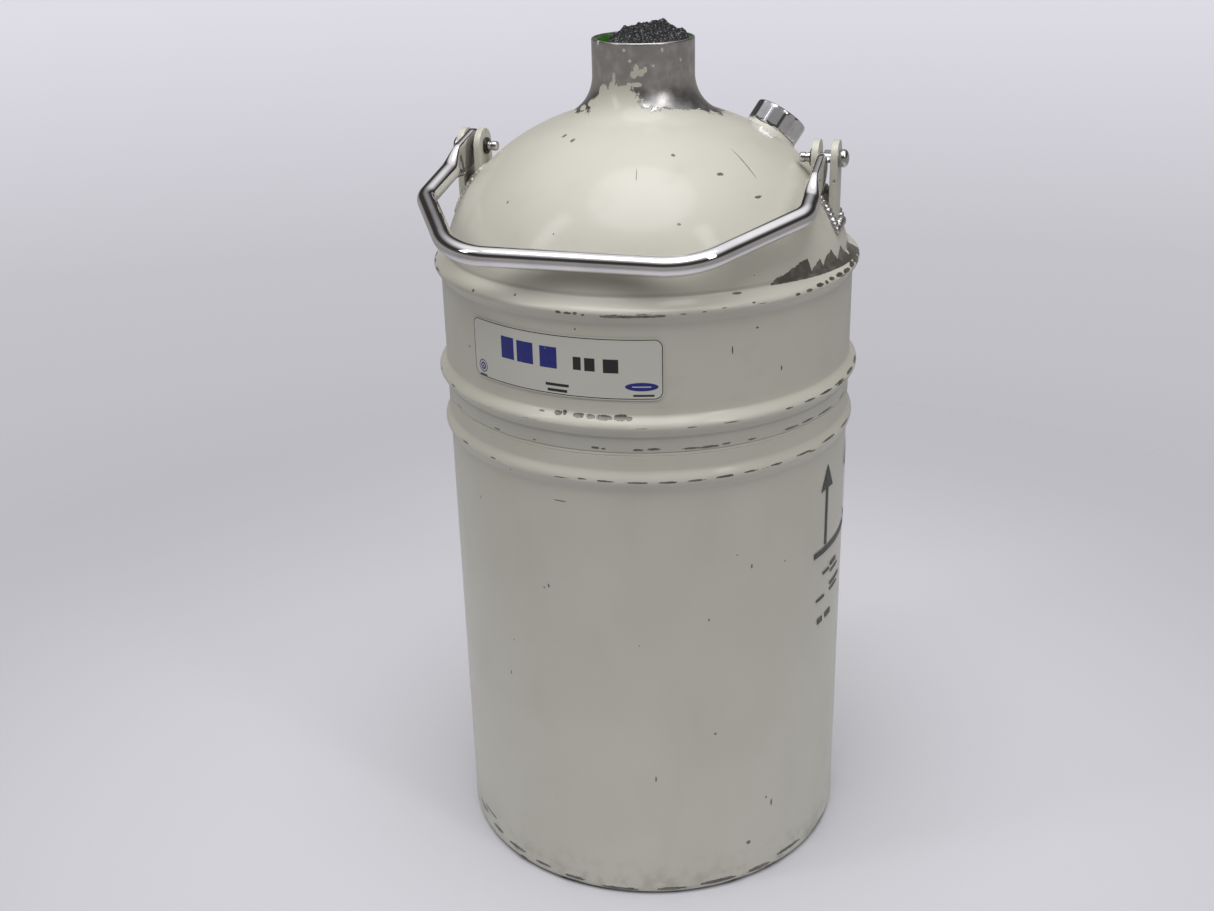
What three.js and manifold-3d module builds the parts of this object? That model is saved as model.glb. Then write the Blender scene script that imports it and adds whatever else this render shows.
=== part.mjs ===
// Ten litre liquid nitrogen dewar: a narrow-necked vacuum vessel with a swinging carry handle.
// Millimetres, +Z up. Origin on the vessel's axis at the floor, X along the handle's pivots,
// -Y the side with the label, where the handle rests.

import * as THREE from "three";
import { mergeVertices } from "three/addons/utils/BufferGeometryUtils.js";
import Module from "manifold-3d";

const wasm = await Module();
wasm.setup();

// ---------------------------------------------------------------- driving dimensions

const GAP = 0.3; // kept between pieces that touch
const WALL = 2; // spun aluminium sheet of the outer vessel

const BODY_R = 130;
const RIM_Z = 535;
const NECK_R = 31.2;
const NECK_FILLET_R = 26;
const DOME = { a: 128, b: 102.6, z: 394 }; // half ellipse that makes the dome
const DOME_FOOT_Z = 411;

const BEAD_HALF = 7.3;
const BEADS = { top: { z: 403, r: 134 }, middle: { z: 334.9, r: 134.8 }, low: { z: 300.2, r: 133 } };

const SEAM_Z = 318; // lower edge of the upper shell's skirt
const LAP = 13; // how far the lower shell reaches up inside the skirt
const FOOT_CORNER_R = 6;
const FOOT_INNER_R = 112;

const NECK_TUBE = { rIn: 27.8, rOut: 28.9, z0: 396, z1: 534.6 };
const PLUG = { r: 26.9, z0: 430, shoulderZ: 530, topZ: 545 };

const INNER = { r: 103, wall: 1.5, seamZ: 345, domeZ: 353, domeH: 46, dishZ: 85, dishH: 32 };
const BLANKET = { rIn: 105.5, rOut: 119 };

const PIVOT_Z = 466;
const EAR = { thick: 4, halfWidth: 11, inner: 105, outer: 116.5, holeR: 3.45 };
const WELD = 3; // leg of the weld beads round the ears
const PIN = { r: 3, headR: 5.3, headOut: 126.3, freeEnd: 96.5 };

const HANDLE_R = 6;
const HANDLE_TILT = THREE.MathUtils.degToRad(15.7); // below horizontal, resting on the shoulder
const TONGUE = { thick: 5.2, halfWidth: 10.5, length: 42, tipHalfWidth: 5.6, holeR: 3.45 };

const PORT_BASE = new THREE.Vector3(66.8, 60.4, 466.9);
const PORT_AXIS = new THREE.Vector3(0.46, 0.42, 0.78).normalize();
const PORT = { capR: 17.5, capInR: 15.7, capTop: 15.5, bossR: 15.3, spigotR: 12, boreR: 8.3 };

const ROUND = 40; // sides of the outer vessel
const INNER_ROUND = 32;
const SMALL_ROUND = 20;

// ---------------------------------------------------------------- finishes

function finish(color, roughness, metalness) {
  return { color, roughness, metalness };
}

const PAINT = finish(0xcfcdc2, 0.35, 0.0);
const BARE = finish(0x9a9b9d, 0.4, 1.0);
const POLISHED = finish(0xc8c9cc, 0.12, 1.0);
const STEEL = finish(0xa9abae, 0.25, 1.0);
const GLASS_FIBRE = finish(0x3f6b2c, 0.45, 0.0);
const FOAM = finish(0x1b1b1c, 0.95, 0.0);
const FOIL = finish(0xd0d2d6, 0.3, 0.9);
const POUCH = finish(0xd8d4c8, 0.9, 0.0);
const RUBBER = finish(0x161616, 0.7, 0.0);
const RESIN = finish(0xb7a46a, 0.4, 0.0);
const LABEL = finish(0xd4d3cf, 0.4, 0.1);
const INK = finish(0x3a3937, 0.5, 0.0);

// ---------------------------------------------------------------- helpers

const dewar = new THREE.Group();

function add(name, geometry, look, parent = dewar) {
  const mesh = new THREE.Mesh(geometry, new THREE.MeshStandardMaterial(look));
  mesh.name = name;
  parent.add(mesh);
  return mesh;
}

function weldedVertices(geometry) {
  const bare = geometry.clone();
  bare.deleteAttribute("normal");
  bare.deleteAttribute("uv");
  return mergeVertices(bare, 1e-4);
}

function solid(geometry) {
  const merged = weldedVertices(geometry);
  const corners = merged.index.array;
  const kept = [];
  for (let i = 0; i < corners.length; i += 3) {
    const [a, b, c] = [corners[i], corners[i + 1], corners[i + 2]];
    if (a !== b && b !== c && c !== a) kept.push(a, b, c);
  }
  return new wasm.Manifold(new wasm.Mesh({
    numProp: 3,
    vertProperties: new Float32Array(merged.attributes.position.array),
    triVerts: new Uint32Array(kept),
  }));
}

function surface(manifold) {
  const mesh = manifold.getMesh();
  const geometry = new THREE.BufferGeometry();
  geometry.setAttribute("position", new THREE.BufferAttribute(mesh.vertProperties, 3));
  geometry.setIndex(new THREE.BufferAttribute(mesh.triVerts, 1));
  geometry.computeVertexNormals();
  return geometry;
}

// A solid of revolution about Z from [radius, height] pairs, listed either way round.
function turned(profile, sides = ROUND) {
  const points = profile.map(([r, z]) => new THREE.Vector2(r, z));
  if (THREE.ShapeUtils.area(points) < 0) points.reverse();
  const onAxis = points[0].x === 0 && points.at(-1).x === 0;
  if (!onAxis) points.push(points[0].clone());
  return new THREE.LatheGeometry(points, sides).rotateX(Math.PI / 2);
}

// A flat outline in the Y-Z plane, thickened along X from x0 to x1.
function plateYZ(shape, x0, x1) {
  const geometry = new THREE.ExtrudeGeometry(shape, {
    depth: x1 - x0,
    bevelEnabled: false,
    curveSegments: 12,
  });
  const basis = new THREE.Matrix4().makeBasis(
    new THREE.Vector3(0, 1, 0),
    new THREE.Vector3(0, 0, 1),
    new THREE.Vector3(1, 0, 0),
  );
  return geometry.applyMatrix4(basis).translate(x0, 0, 0);
}

function box(x0, x1, y0, y1, z0, z1) {
  const geometry = new THREE.BoxGeometry(x1 - x0, y1 - y0, z1 - z0);
  return geometry.translate((x0 + x1) / 2, (y0 + y1) / 2, (z0 + z1) / 2);
}

// An outline that runs outwards and down, moved into the material by a distance.
function offset(profile, distance) {
  return profile.map(([r, z], i) => {
    const before = profile[Math.max(i - 1, 0)];
    const after = profile[Math.min(i + 1, profile.length - 1)];
    const along = new THREE.Vector2(after[0] - before[0], after[1] - before[1]).normalize();
    return [r + along.y * distance, z - along.x * distance];
  });
}

// ---------------------------------------------------------------- outer vessel outline

function domeHeight(r) {
  return DOME.z + DOME.b * Math.sqrt(1 - (r / DOME.a) ** 2);
}

function domeRadius(z) {
  return DOME.a * Math.sqrt(1 - ((z - DOME.z) / DOME.b) ** 2);
}

// Where the neck's concave fillet lands on the dome, found by walking the fillet's circle down.
function filletLanding() {
  const r = NECK_R + NECK_FILLET_R;
  let turn = Math.PI / 4;
  for (let i = 0; i < 20; i += 1) {
    const landR = r - NECK_FILLET_R * Math.cos(turn);
    const slope = (DOME.b / DOME.a) ** 2 * (landR / (domeHeight(landR) - DOME.z));
    turn = Math.atan2(1, slope);
  }
  const landR = r - NECK_FILLET_R * Math.cos(turn);
  return { turn, z: domeHeight(landR) + NECK_FILLET_R * Math.sin(turn) };
}

// Half or whole rounded rib, from one height to another, between two base radii.
function bead({ z, r }, fromZ, toZ, fromR, toR, steps) {
  const points = [];
  for (let i = 0; i <= steps; i += 1) {
    const here = fromZ + ((toZ - fromZ) * i) / steps;
    const base = here > z ? fromR : toR;
    const reach = here > z ? fromZ - z : z - toZ;
    const lift = 0.5 * (1 + Math.cos((Math.PI * (here - z)) / reach));
    points.push([base + (r - base) * lift, here]);
  }
  return points;
}

function plainBead(which, steps) {
  return bead(which, which.z + BEAD_HALF, which.z - BEAD_HALF, BODY_R, BODY_R, steps);
}

// The upper shell's outline from the rim down to the seam.
function upperOutline(steps) {
  const { turn, z: filletZ } = filletLanding();
  const outline = [[NECK_R, RIM_Z]];
  for (let i = 0; i <= steps.fillet; i += 1) {
    const angle = (turn * i) / steps.fillet;
    outline.push([
      NECK_R + NECK_FILLET_R * (1 - Math.cos(angle)),
      filletZ - NECK_FILLET_R * Math.sin(angle),
    ]);
  }
  const landR = outline.at(-1)[0];
  const start = Math.asin(landR / DOME.a);
  const end = Math.asin(domeRadius(DOME_FOOT_Z) / DOME.a);
  for (let i = 1; i < steps.dome; i += 1) {
    const angle = start + ((end - start) * i) / steps.dome;
    outline.push([DOME.a * Math.sin(angle), DOME.z + DOME.b * Math.cos(angle)]);
  }
  const { top, middle } = BEADS;
  outline.push(...bead(top, DOME_FOOT_Z, top.z - BEAD_HALF, domeRadius(DOME_FOOT_Z), BODY_R, steps.bead));
  outline.push(...plainBead(middle, steps.bead));
  outline.push([BODY_R, SEAM_Z]);
  return outline;
}

const FINE = { fillet: 4, dome: 8, bead: 6 };
const COARSE = { fillet: 3, dome: 5, bead: 4 };

// The dome and all below it as one plug of revolution, grown outwards by a distance.
function domeMass(grow) {
  const outline = offset(upperOutline(FINE), -grow);
  const profile = [[0, RIM_Z], [outline[0][0], RIM_Z], ...outline.slice(1, -1), [outline.at(-1)[0], SEAM_Z]];
  profile.push([0, SEAM_Z]);
  return solid(turned(profile.reverse()));
}

const domeClear = domeMass(GAP);
const domeWeldTop = domeMass(GAP + WELD);

// ---------------------------------------------------------------- port frame

const portFrame = new THREE.Matrix4().compose(
  PORT_BASE,
  new THREE.Quaternion().setFromUnitVectors(new THREE.Vector3(0, 0, 1), PORT_AXIS),
  new THREE.Vector3(1, 1, 1),
);

const port = new THREE.Group();
portFrame.decompose(port.position, port.quaternion, port.scale);
dewar.add(port);

// ---------------------------------------------------------------- outer vessel

function upperShell() {
  const outside = upperOutline(FINE);
  const inside = offset(upperOutline(COARSE), WALL);
  inside[0] = [NECK_R - WALL, RIM_Z];
  inside[inside.length - 1] = [BODY_R - WALL, SEAM_Z];
  const shell = solid(turned([...inside, ...outside.reverse()]));
  const hole = turned([[0, -20], [PORT.spigotR + GAP, -20], [PORT.spigotR + GAP, 10], [0, 10]], SMALL_ROUND);
  return surface(shell.subtract(solid(hole.applyMatrix4(portFrame))));
}

function footCorner(radius, steps) {
  const points = [];
  for (let i = 0; i <= steps; i += 1) {
    const angle = (Math.PI / 2) * (i / steps);
    points.push([
      BODY_R - FOOT_CORNER_R + radius * Math.cos(angle),
      FOOT_CORNER_R - radius * Math.sin(angle),
    ]);
  }
  return points;
}

function lowerShell() {
  const lapR = BODY_R - WALL - GAP;
  const lapTop = SEAM_Z + LAP;
  const stepZ = SEAM_Z - GAP;
  const outside = [
    [lapR, lapTop],
    [lapR, stepZ],
    [BODY_R, stepZ - 3],
    ...plainBead(BEADS.low, FINE.bead),
    ...footCorner(FOOT_CORNER_R, 3),
    [FOOT_INNER_R, 0],
  ];
  const inside = [
    [lapR - WALL, lapTop],
    [lapR - WALL, stepZ],
    [BODY_R - WALL, stepZ - 3],
    ...offset(plainBead(BEADS.low, COARSE.bead), WALL),
    ...footCorner(FOOT_CORNER_R - WALL, 2),
    [FOOT_INNER_R, WALL],
  ];
  return turned([...inside, ...outside.reverse()]);
}

function girthWeld() {
  const r = BODY_R - WALL + 0.1;
  return turned([[r + 0.3, SEAM_Z - 1.2], [BODY_R + 0.7, SEAM_Z - 1.9], [BODY_R + 0.9, SEAM_Z - 0.4], [r + 0.5, SEAM_Z - 0.35]]);
}

function bottomHead() {
  const seat = WALL + GAP;
  const rise = 14;
  return turned([
    [0, seat + rise],
    [103, seat + rise - 2],
    [111, seat],
    [123.5, seat],
    [123.5, seat + WALL],
    [110, seat + WALL],
    [102, seat + rise],
    [0, seat + rise + WALL],
  ]);
}

function bottomWeld() {
  const r = FOOT_INNER_R - GAP;
  return turned([[r - 2.4, WALL], [r, 0.5], [r, WALL]]);
}

add("upper_shell", upperShell(), PAINT);
add("lower_shell", lowerShell(), PAINT);
add("bottom_head", bottomHead(), PAINT);
add("bottom_weld", bottomWeld(), BARE);

// ---------------------------------------------------------------- neck

function neckTube() {
  const { rIn, rOut, z0, z1 } = NECK_TUBE;
  return turned([[rIn, z0], [rOut, z0], [rOut, z1], [rIn, z1]], INNER_ROUND);
}

function neckPlug() {
  const { r, z0, shoulderZ, topZ } = PLUG;
  return turned([
    [0, z0],
    [r, z0],
    [r, shoulderZ],
    [r * 0.86, shoulderZ + 7],
    [r * 0.4, topZ - 2],
    [0, topZ],
  ], SMALL_ROUND);
}

add("neck_tube", neckTube(), GLASS_FIBRE);
add("neck_plug_foam", neckPlug(), FOAM);

// ---------------------------------------------------------------- inner vessel

function quarter(rTop, z, height, steps, fromR) {
  const points = [];
  const start = Math.asin(fromR / rTop);
  for (let i = 0; i <= steps; i += 1) {
    const angle = start + ((Math.PI / 2 - start) * i) / steps;
    points.push([rTop * Math.sin(angle), z + height * Math.cos(angle)]);
  }
  return points;
}

const COLLAR_IN = NECK_TUBE.rOut + GAP;
const COLLAR_TOP = 412;

function innerVesselTop() {
  const { r, wall, seamZ, domeZ, domeH } = INNER;
  const outside = [
    [COLLAR_IN + wall, COLLAR_TOP],
    [COLLAR_IN + wall, 401],
    ...quarter(r, domeZ, domeH, 5, 34),
    [r, seamZ],
  ];
  const inside = [
    [COLLAR_IN, COLLAR_TOP],
    [COLLAR_IN, 399],
    ...quarter(r - wall, domeZ, domeH - wall, 4, 34),
    [r - wall, seamZ],
  ];
  return turned([...inside, ...outside.reverse()], INNER_ROUND);
}

function innerVesselBody() {
  const { r, wall, seamZ, dishZ, dishH } = INNER;
  const top = seamZ - GAP;
  const outside = quarter(r, dishZ, -dishH, 5, 0);
  const inside = quarter(r - wall, dishZ, -(dishH - wall), 4, 0);
  return turned([...outside, [r, top], [r - wall, top], ...inside.reverse()], INNER_ROUND);
}

function innerGirthWeld() {
  const r = INNER.r + GAP;
  const z = INNER.seamZ;
  return turned([[r, z - 4], [r + 1.5, z - 2], [r + 1.5, z + 2], [r, z + 4]], INNER_ROUND);
}

function bondRing() {
  const z = COLLAR_TOP + GAP;
  return turned([[COLLAR_IN, z], [COLLAR_IN + 2.3, z], [COLLAR_IN + 0.8, z + 3.7], [COLLAR_IN, z + 3.7]], INNER_ROUND);
}

add("inner_vessel_top", innerVesselTop(), BARE);
add("inner_vessel_body", innerVesselBody(), BARE);
add("inner_girth_weld", innerGirthWeld(), BARE);
add("neck_bond_ring", bondRing(), RESIN);

// ---------------------------------------------------------------- insulation and getters

const SIDE_BLANKET_Z = [62, 350];

function sideBlanket() {
  const [z0, z1] = SIDE_BLANKET_Z;
  const { rIn, rOut } = BLANKET;
  return turned([[rIn, z0], [rOut, z0], [rOut, z1], [rIn, z1]], INNER_ROUND);
}

function topBlanket() {
  const z = SIDE_BLANKET_Z[1] + GAP;
  return turned([
    [BLANKET.rIn, z],
    [BLANKET.rOut, z],
    [BLANKET.rOut, z + 14],
    [108, 388],
    [86, 407],
    [60, 418],
    [36, 421],
    [36, 405],
    [60, 396],
    [85, 385],
    [98, 373],
    [BLANKET.rIn, 357],
  ], INNER_ROUND);
}

const PAD_TOP_Z = 46;

function bottomBlanket() {
  const top = SIDE_BLANKET_Z[0] - GAP;
  return turned([
    [0, 34],
    [104, 34],
    [BLANKET.rOut, 42],
    [BLANKET.rOut, top],
    [BLANKET.rIn, top],
    [78, PAD_TOP_Z],
    [0, PAD_TOP_Z],
  ], INNER_ROUND);
}

function adsorbentPack() {
  const z = PAD_TOP_Z + GAP;
  return turned([[0, z], [66, z], [70, z + 3], [66, z + 6], [0, z + 6]], SMALL_ROUND);
}

add("insulation_side", sideBlanket(), FOIL);
add("insulation_top", topBlanket(), FOIL);
add("insulation_bottom", bottomBlanket(), FOIL);
add("adsorbent_pack", adsorbentPack(), POUCH);
add("getter_pack", box(-15, 15, 120.2, 125.8, 120, 160), POUCH);

// ---------------------------------------------------------------- handle brackets and pins

function earOutline(halfWidth, drop) {
  const shape = new THREE.Shape();
  shape.moveTo(-halfWidth, PIVOT_Z - drop);
  shape.lineTo(halfWidth, PIVOT_Z - drop);
  shape.absarc(0, PIVOT_Z, halfWidth, 0, Math.PI, false);
  shape.closePath();
  return shape;
}

const EAR_DROP = 46;

function ear(x0, x1) {
  const outline = earOutline(EAR.halfWidth, EAR_DROP);
  const hole = new THREE.Path();
  hole.absarc(0, PIVOT_Z, EAR.holeR, 0, Math.PI * 2, true);
  outline.holes.push(hole);
  return solid(plateYZ(outline, x0, x1)).subtract(domeClear);
}

function earWeld(x0, x1) {
  const half = EAR.halfWidth;
  const around = solid(box(x0 - WELD, x1 + WELD, -half - WELD, half + WELD, PIVOT_Z - 60, PIVOT_Z));
  const slot = solid(box(x0 - GAP, x1 + GAP, -half - GAP, half + GAP, PIVOT_Z - 70, PIVOT_Z + 10));
  return around.intersect(domeWeldTop).subtract(domeClear).subtract(slot);
}

function pin(side) {
  const { r, headR, headOut, freeEnd } = PIN;
  const headIn = EAR.outer + EAR.thick + GAP;
  const profile = [
    [0, freeEnd],
    [r - 0.8, freeEnd],
    [r, freeEnd + 0.9],
    [r, headIn],
    [headR, headIn],
    [headR, headOut - 2.6],
    [headR - 2, headOut - 0.5],
    [0, headOut],
  ];
  const geometry = turned(profile, 16).rotateY(Math.PI / 2);
  if (side < 0) geometry.rotateZ(Math.PI);
  return geometry.translate(0, 0, PIVOT_Z);
}

function retainingRing(side) {
  const face = EAR.inner - GAP;
  const [rIn, rOut] = [PIN.r + 0.35, PIN.r + 2.2];
  const geometry = turned([[rIn, face - 1.5], [rOut, face - 1.5], [rOut, face], [rIn, face]], 16);
  geometry.rotateY(Math.PI / 2);
  if (side < 0) geometry.rotateZ(Math.PI);
  return geometry.translate(0, 0, PIVOT_Z);
}

for (const [label, side] of [["left", -1], ["right", 1]]) {
  for (const [place, start] of [["inner", EAR.inner], ["outer", EAR.outer]]) {
    const [x0, x1] = [side * start, side * (start + EAR.thick)].sort((a, b) => a - b);
    add(`${label}_${place}_ear`, surface(ear(x0, x1)), PAINT);
    add(`${label}_${place}_ear_weld`, surface(earWeld(x0, x1)), BARE);
  }
  add(`${label}_pin`, pin(side), STEEL);
  add(`${label}_pin_retaining_ring`, retainingRing(side), STEEL);
}

// ---------------------------------------------------------------- carry handle

// Corners of the tube's centre line in the handle's own plane: along the pivots, away from them.
const HANDLE_CORNERS = {
  leftEye: [-113.6, 0],
  leftBend: [-119.2, 70],
  leftCorner: [-81, 132],
  rightCorner: [59.5, 132],
  rightBend: [111.6, 70],
  rightEye: [112.2, 0],
};
const TUBE_START = 28; // where the flattened eye has become a round tube
const BEND_R = 14;
const CORNER_R = 41;

function planePoint([x, away]) {
  return new THREE.Vector3(x, -away, 0);
}

// How far before and after a corner its bend starts and ends.
function bendCurve(before, corner, after, radius) {
  const back = before.clone().sub(corner).normalize();
  const ahead = after.clone().sub(corner).normalize();
  const reach = radius / Math.tan(back.angleTo(ahead) / 2);
  const start = corner.clone().addScaledVector(back, reach);
  const end = corner.clone().addScaledVector(ahead, reach);
  return new THREE.QuadraticBezierCurve3(start, corner, end);
}

function handlePath() {
  const c = HANDLE_CORNERS;
  const eyes = [c.leftEye, c.leftBend, c.leftCorner, c.rightCorner, c.rightBend, c.rightEye];
  const points = eyes.map(planePoint);
  points[0].lerp(points[1], TUBE_START / 70);
  points[5].lerp(points[4], TUBE_START / 70);
  const radii = [BEND_R, CORNER_R, CORNER_R, BEND_R];
  const path = new THREE.CurvePath();
  let from = points[0];
  radii.forEach((radius, i) => {
    const curve = bendCurve(points[i], points[i + 1], points[i + 2], radius);
    path.add(new THREE.LineCurve3(from, curve.v0));
    path.add(curve);
    from = curve.v2;
  });
  path.add(new THREE.LineCurve3(from, points[5]));
  return path;
}

function tongue([x]) {
  const { thick, halfWidth, length, tipHalfWidth, holeR } = TONGUE;
  const shape = new THREE.Shape();
  shape.moveTo(-length, -tipHalfWidth);
  shape.lineTo(-TUBE_START, -halfWidth + 0.8);
  shape.lineTo(0, -halfWidth);
  shape.absarc(0, 0, halfWidth, -Math.PI / 2, Math.PI / 2, false);
  shape.lineTo(-TUBE_START, halfWidth - 0.8);
  shape.lineTo(-length, tipHalfWidth);
  shape.closePath();
  const hole = new THREE.Path();
  hole.absarc(0, 0, holeR, 0, Math.PI * 2, true);
  shape.holes.push(hole);
  return solid(plateYZ(shape, x - thick / 2, x + thick / 2));
}

function handle() {
  const section = new THREE.Shape();
  section.absarc(0, 0, HANDLE_R, 0, Math.PI * 2, false);
  const tube = new THREE.ExtrudeGeometry(section, {
    steps: 48,
    curveSegments: 6,
    bevelEnabled: false,
    extrudePath: handlePath(),
  });
  const { leftEye, rightEye } = HANDLE_CORNERS;
  return surface(solid(tube).add(tongue(leftEye)).add(tongue(rightEye)));
}

const handleMesh = add("handle_tube", handle(), POLISHED);
handleMesh.position.z = PIVOT_Z;
handleMesh.rotation.x = HANDLE_TILT;

// ---------------------------------------------------------------- evacuation port

const BOSS_TOP = 9;
const GROOVE = { z0: 0.8, z1: 3.6, r: 5.8 };
const STEM_R = 7.7;

function portCollar() {
  const ring = turned([[PORT.bossR + GAP, -6], [20.5, -6], [20.5, -0.8], [PORT.bossR + GAP, 1.9]], 24);
  return surface(solid(ring.applyMatrix4(portFrame)).subtract(domeClear));
}

function portBoss() {
  const { bossR, spigotR, boreR } = PORT;
  return turned([
    [boreR, -10],
    [spigotR, -10],
    [spigotR, GAP],
    [bossR, GAP],
    [bossR, BOSS_TOP],
    [boreR, BOSS_TOP],
  ], SMALL_ROUND);
}

function reliefPlug() {
  const seat = BOSS_TOP + GAP;
  return turned([
    [0, -6],
    [STEM_R, -6],
    [STEM_R, GROOVE.z0],
    [GROOVE.r, GROOVE.z0],
    [GROOVE.r, GROOVE.z1],
    [STEM_R, GROOVE.z1],
    [STEM_R, seat],
    [11.5, seat],
    [11.5, seat + 1.7],
    [0, seat + 1.7],
  ], SMALL_ROUND);
}

function reliefRing() {
  const torus = new THREE.TorusGeometry(7.12, 0.95, 8, SMALL_ROUND);
  return torus.translate(0, 0, (GROOVE.z0 + GROOVE.z1) / 2);
}

function portCap() {
  const { capR, capInR, capTop } = PORT;
  const foot = 2.2;
  return turned([
    [0, capTop - 2],
    [capInR, capTop - 2],
    [capInR, foot],
    [capR, foot],
    [capR, capTop - 1],
    [capR - 1, capTop],
    [0, capTop],
  ], 24);
}

add("port_weld_collar", portCollar(), PAINT);
add("port_boss", portBoss(), BARE, port);
add("relief_plug", reliefPlug(), BARE, port);
add("relief_plug_o_ring", reliefRing(), RUBBER, port);
add("port_cap", portCap(), POLISHED, port);

// ---------------------------------------------------------------- label and decal

const SKIN = { gap: 0.35, thick: 0.4 };

// A thin curved skin on the body, between two bearings counted from -Y towards +X.
function skin(fromDeg, toDeg, z0, z1) {
  const start = THREE.MathUtils.degToRad(fromDeg - 90);
  const end = THREE.MathUtils.degToRad(toDeg - 90);
  const rIn = BODY_R + SKIN.gap;
  const shape = new THREE.Shape();
  shape.absarc(0, 0, rIn + SKIN.thick, start, end, false);
  shape.absarc(0, 0, rIn, end, start, true);
  shape.closePath();
  const geometry = new THREE.ExtrudeGeometry(shape, {
    depth: z1 - z0,
    bevelEnabled: false,
    curveSegments: 16,
  });
  return geometry.translate(0, 0, z0);
}

add("front_label", skin(-36.8, 19.3, 351, 388), LABEL);
add("side_decal", skin(66, 104, 168, 284), INK);
add("girth_weld", girthWeld(), BARE);

export default dewar;
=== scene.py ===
"""Ten litre liquid nitrogen dewar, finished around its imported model.

Metres in the scene; outlines and tables are in millimetres and degrees. The vessel's axis is Z,
the handle's pivots lie along X, and bearings are counted from the label side, -Y, towards +X.
"""

import math
import random

import bmesh
import bpy
from mathutils import Matrix, Vector, noise


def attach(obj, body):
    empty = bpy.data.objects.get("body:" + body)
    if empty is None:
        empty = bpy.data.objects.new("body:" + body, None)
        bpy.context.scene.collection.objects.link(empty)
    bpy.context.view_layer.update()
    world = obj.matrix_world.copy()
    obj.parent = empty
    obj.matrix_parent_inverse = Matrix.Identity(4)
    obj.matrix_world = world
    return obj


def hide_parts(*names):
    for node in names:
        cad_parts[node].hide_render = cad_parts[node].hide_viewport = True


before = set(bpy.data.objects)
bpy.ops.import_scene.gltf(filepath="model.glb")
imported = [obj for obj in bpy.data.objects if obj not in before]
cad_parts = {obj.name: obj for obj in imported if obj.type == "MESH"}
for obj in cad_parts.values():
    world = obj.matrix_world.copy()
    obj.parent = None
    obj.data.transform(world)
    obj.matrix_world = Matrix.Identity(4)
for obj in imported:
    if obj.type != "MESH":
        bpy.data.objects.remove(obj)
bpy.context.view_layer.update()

MM = 0.001
GAP = 0.3
WALL = 2

# ---------------------------------------------------------------- vessel sizes

BODY_R = 130
RIM_Z = 535
NECK_R = 31.2
FLARE_R = 26
DOME_A, DOME_B, DOME_Z = 128, 102.6, 394
DOME_FOOT_Z = 411
BEAD_HALF = 7.3
TOP_BEAD = (403, 134)
MIDDLE_BEAD = (334.9, 134.8)
LOW_BEAD = (300.2, 133)
SEAM_Z = 318
LAP = 13
FOOT_CORNER_R = 6
FOOT_INNER_R = 112
PIVOT_Z = 466

PORT_BASE = Vector((66.8, 60.4, 466.9))
PORT_AXIS = Vector((0.46, 0.42, 0.78)).normalized()

VESSEL_SIDES = 192
SMALL_SIDES = 96


# ---------------------------------------------------------------- shader building


class Channel:
    """One output of a node, with the arithmetic its numbers need."""

    def __init__(self, finish, socket):
        self.finish = finish
        self.socket = socket

    def maths(self, operation, *others, clamp=False):
        settings = {"operation": operation, "use_clamp": clamp}
        return self.finish.node("ShaderNodeMath", settings, dict(enumerate((self, *others))))

    def __add__(self, other):
        return self.maths("ADD", other)

    def __sub__(self, other):
        return self.maths("SUBTRACT", other)

    def __rsub__(self, other):
        settings = {"operation": "SUBTRACT"}
        return self.finish.node("ShaderNodeMath", settings, {0: other, 1: self})

    def __mul__(self, other):
        return self.maths("MULTIPLY", other)

    def __truediv__(self, other):
        return self.maths("DIVIDE", other)

    def __or__(self, other):
        return self.maths("MAXIMUM", other)

    def __and__(self, other):
        return self.maths("MINIMUM", other)

    def __abs__(self):
        return self.maths("ABSOLUTE")

    __radd__ = __add__
    __rmul__ = __mul__

    def step(self, low, high):
        """Rises smoothly from 0 at low to 1 at high."""
        settings = {"interpolation_type": "SMOOTHSTEP"}
        return self.finish.node("ShaderNodeMapRange", settings, {0: self, 1: low, 2: high})

    def band(self, centre, half, soft):
        """1 within half of centre, fading out over soft."""
        return 1 - abs(self - centre).step(half, half + soft)

    def curve(self, stops):
        """A value that follows (place, value) stops."""
        settings = {"stops": [(place, (value, value, value, 1)) for place, value in stops]}
        return self.finish.node("ShaderNodeValToRGB", settings, {0: self})


class Shading:
    """A node tree, with the one method that adds a node to it."""

    def __init__(self, tree):
        self.tree = tree

    def node(self, kind, settings, inputs, output=0):
        made = self.tree.nodes.new(kind)
        for setting, value in settings.items():
            if setting == "stops":
                self.set_stops(made.color_ramp.elements, value)
            else:
                setattr(made, setting, value)
        for socket, value in inputs.items():
            if isinstance(value, Channel):
                self.tree.links.new(value.socket, made.inputs[socket])
            else:
                made.inputs[socket].default_value = value
        return Channel(self, made.outputs[output])

    @staticmethod
    def set_stops(elements, stops):
        while len(elements) < len(stops):
            elements.new(0.5)
        for element, (place, colour) in zip(elements, stops):
            element.position = place
            element.color = colour

    def blend(self, factor, first, second):
        settings = {"data_type": "RGBA"}
        return self.node("ShaderNodeMix", settings, {0: factor, 6: first, 7: second}, 2)


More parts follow.
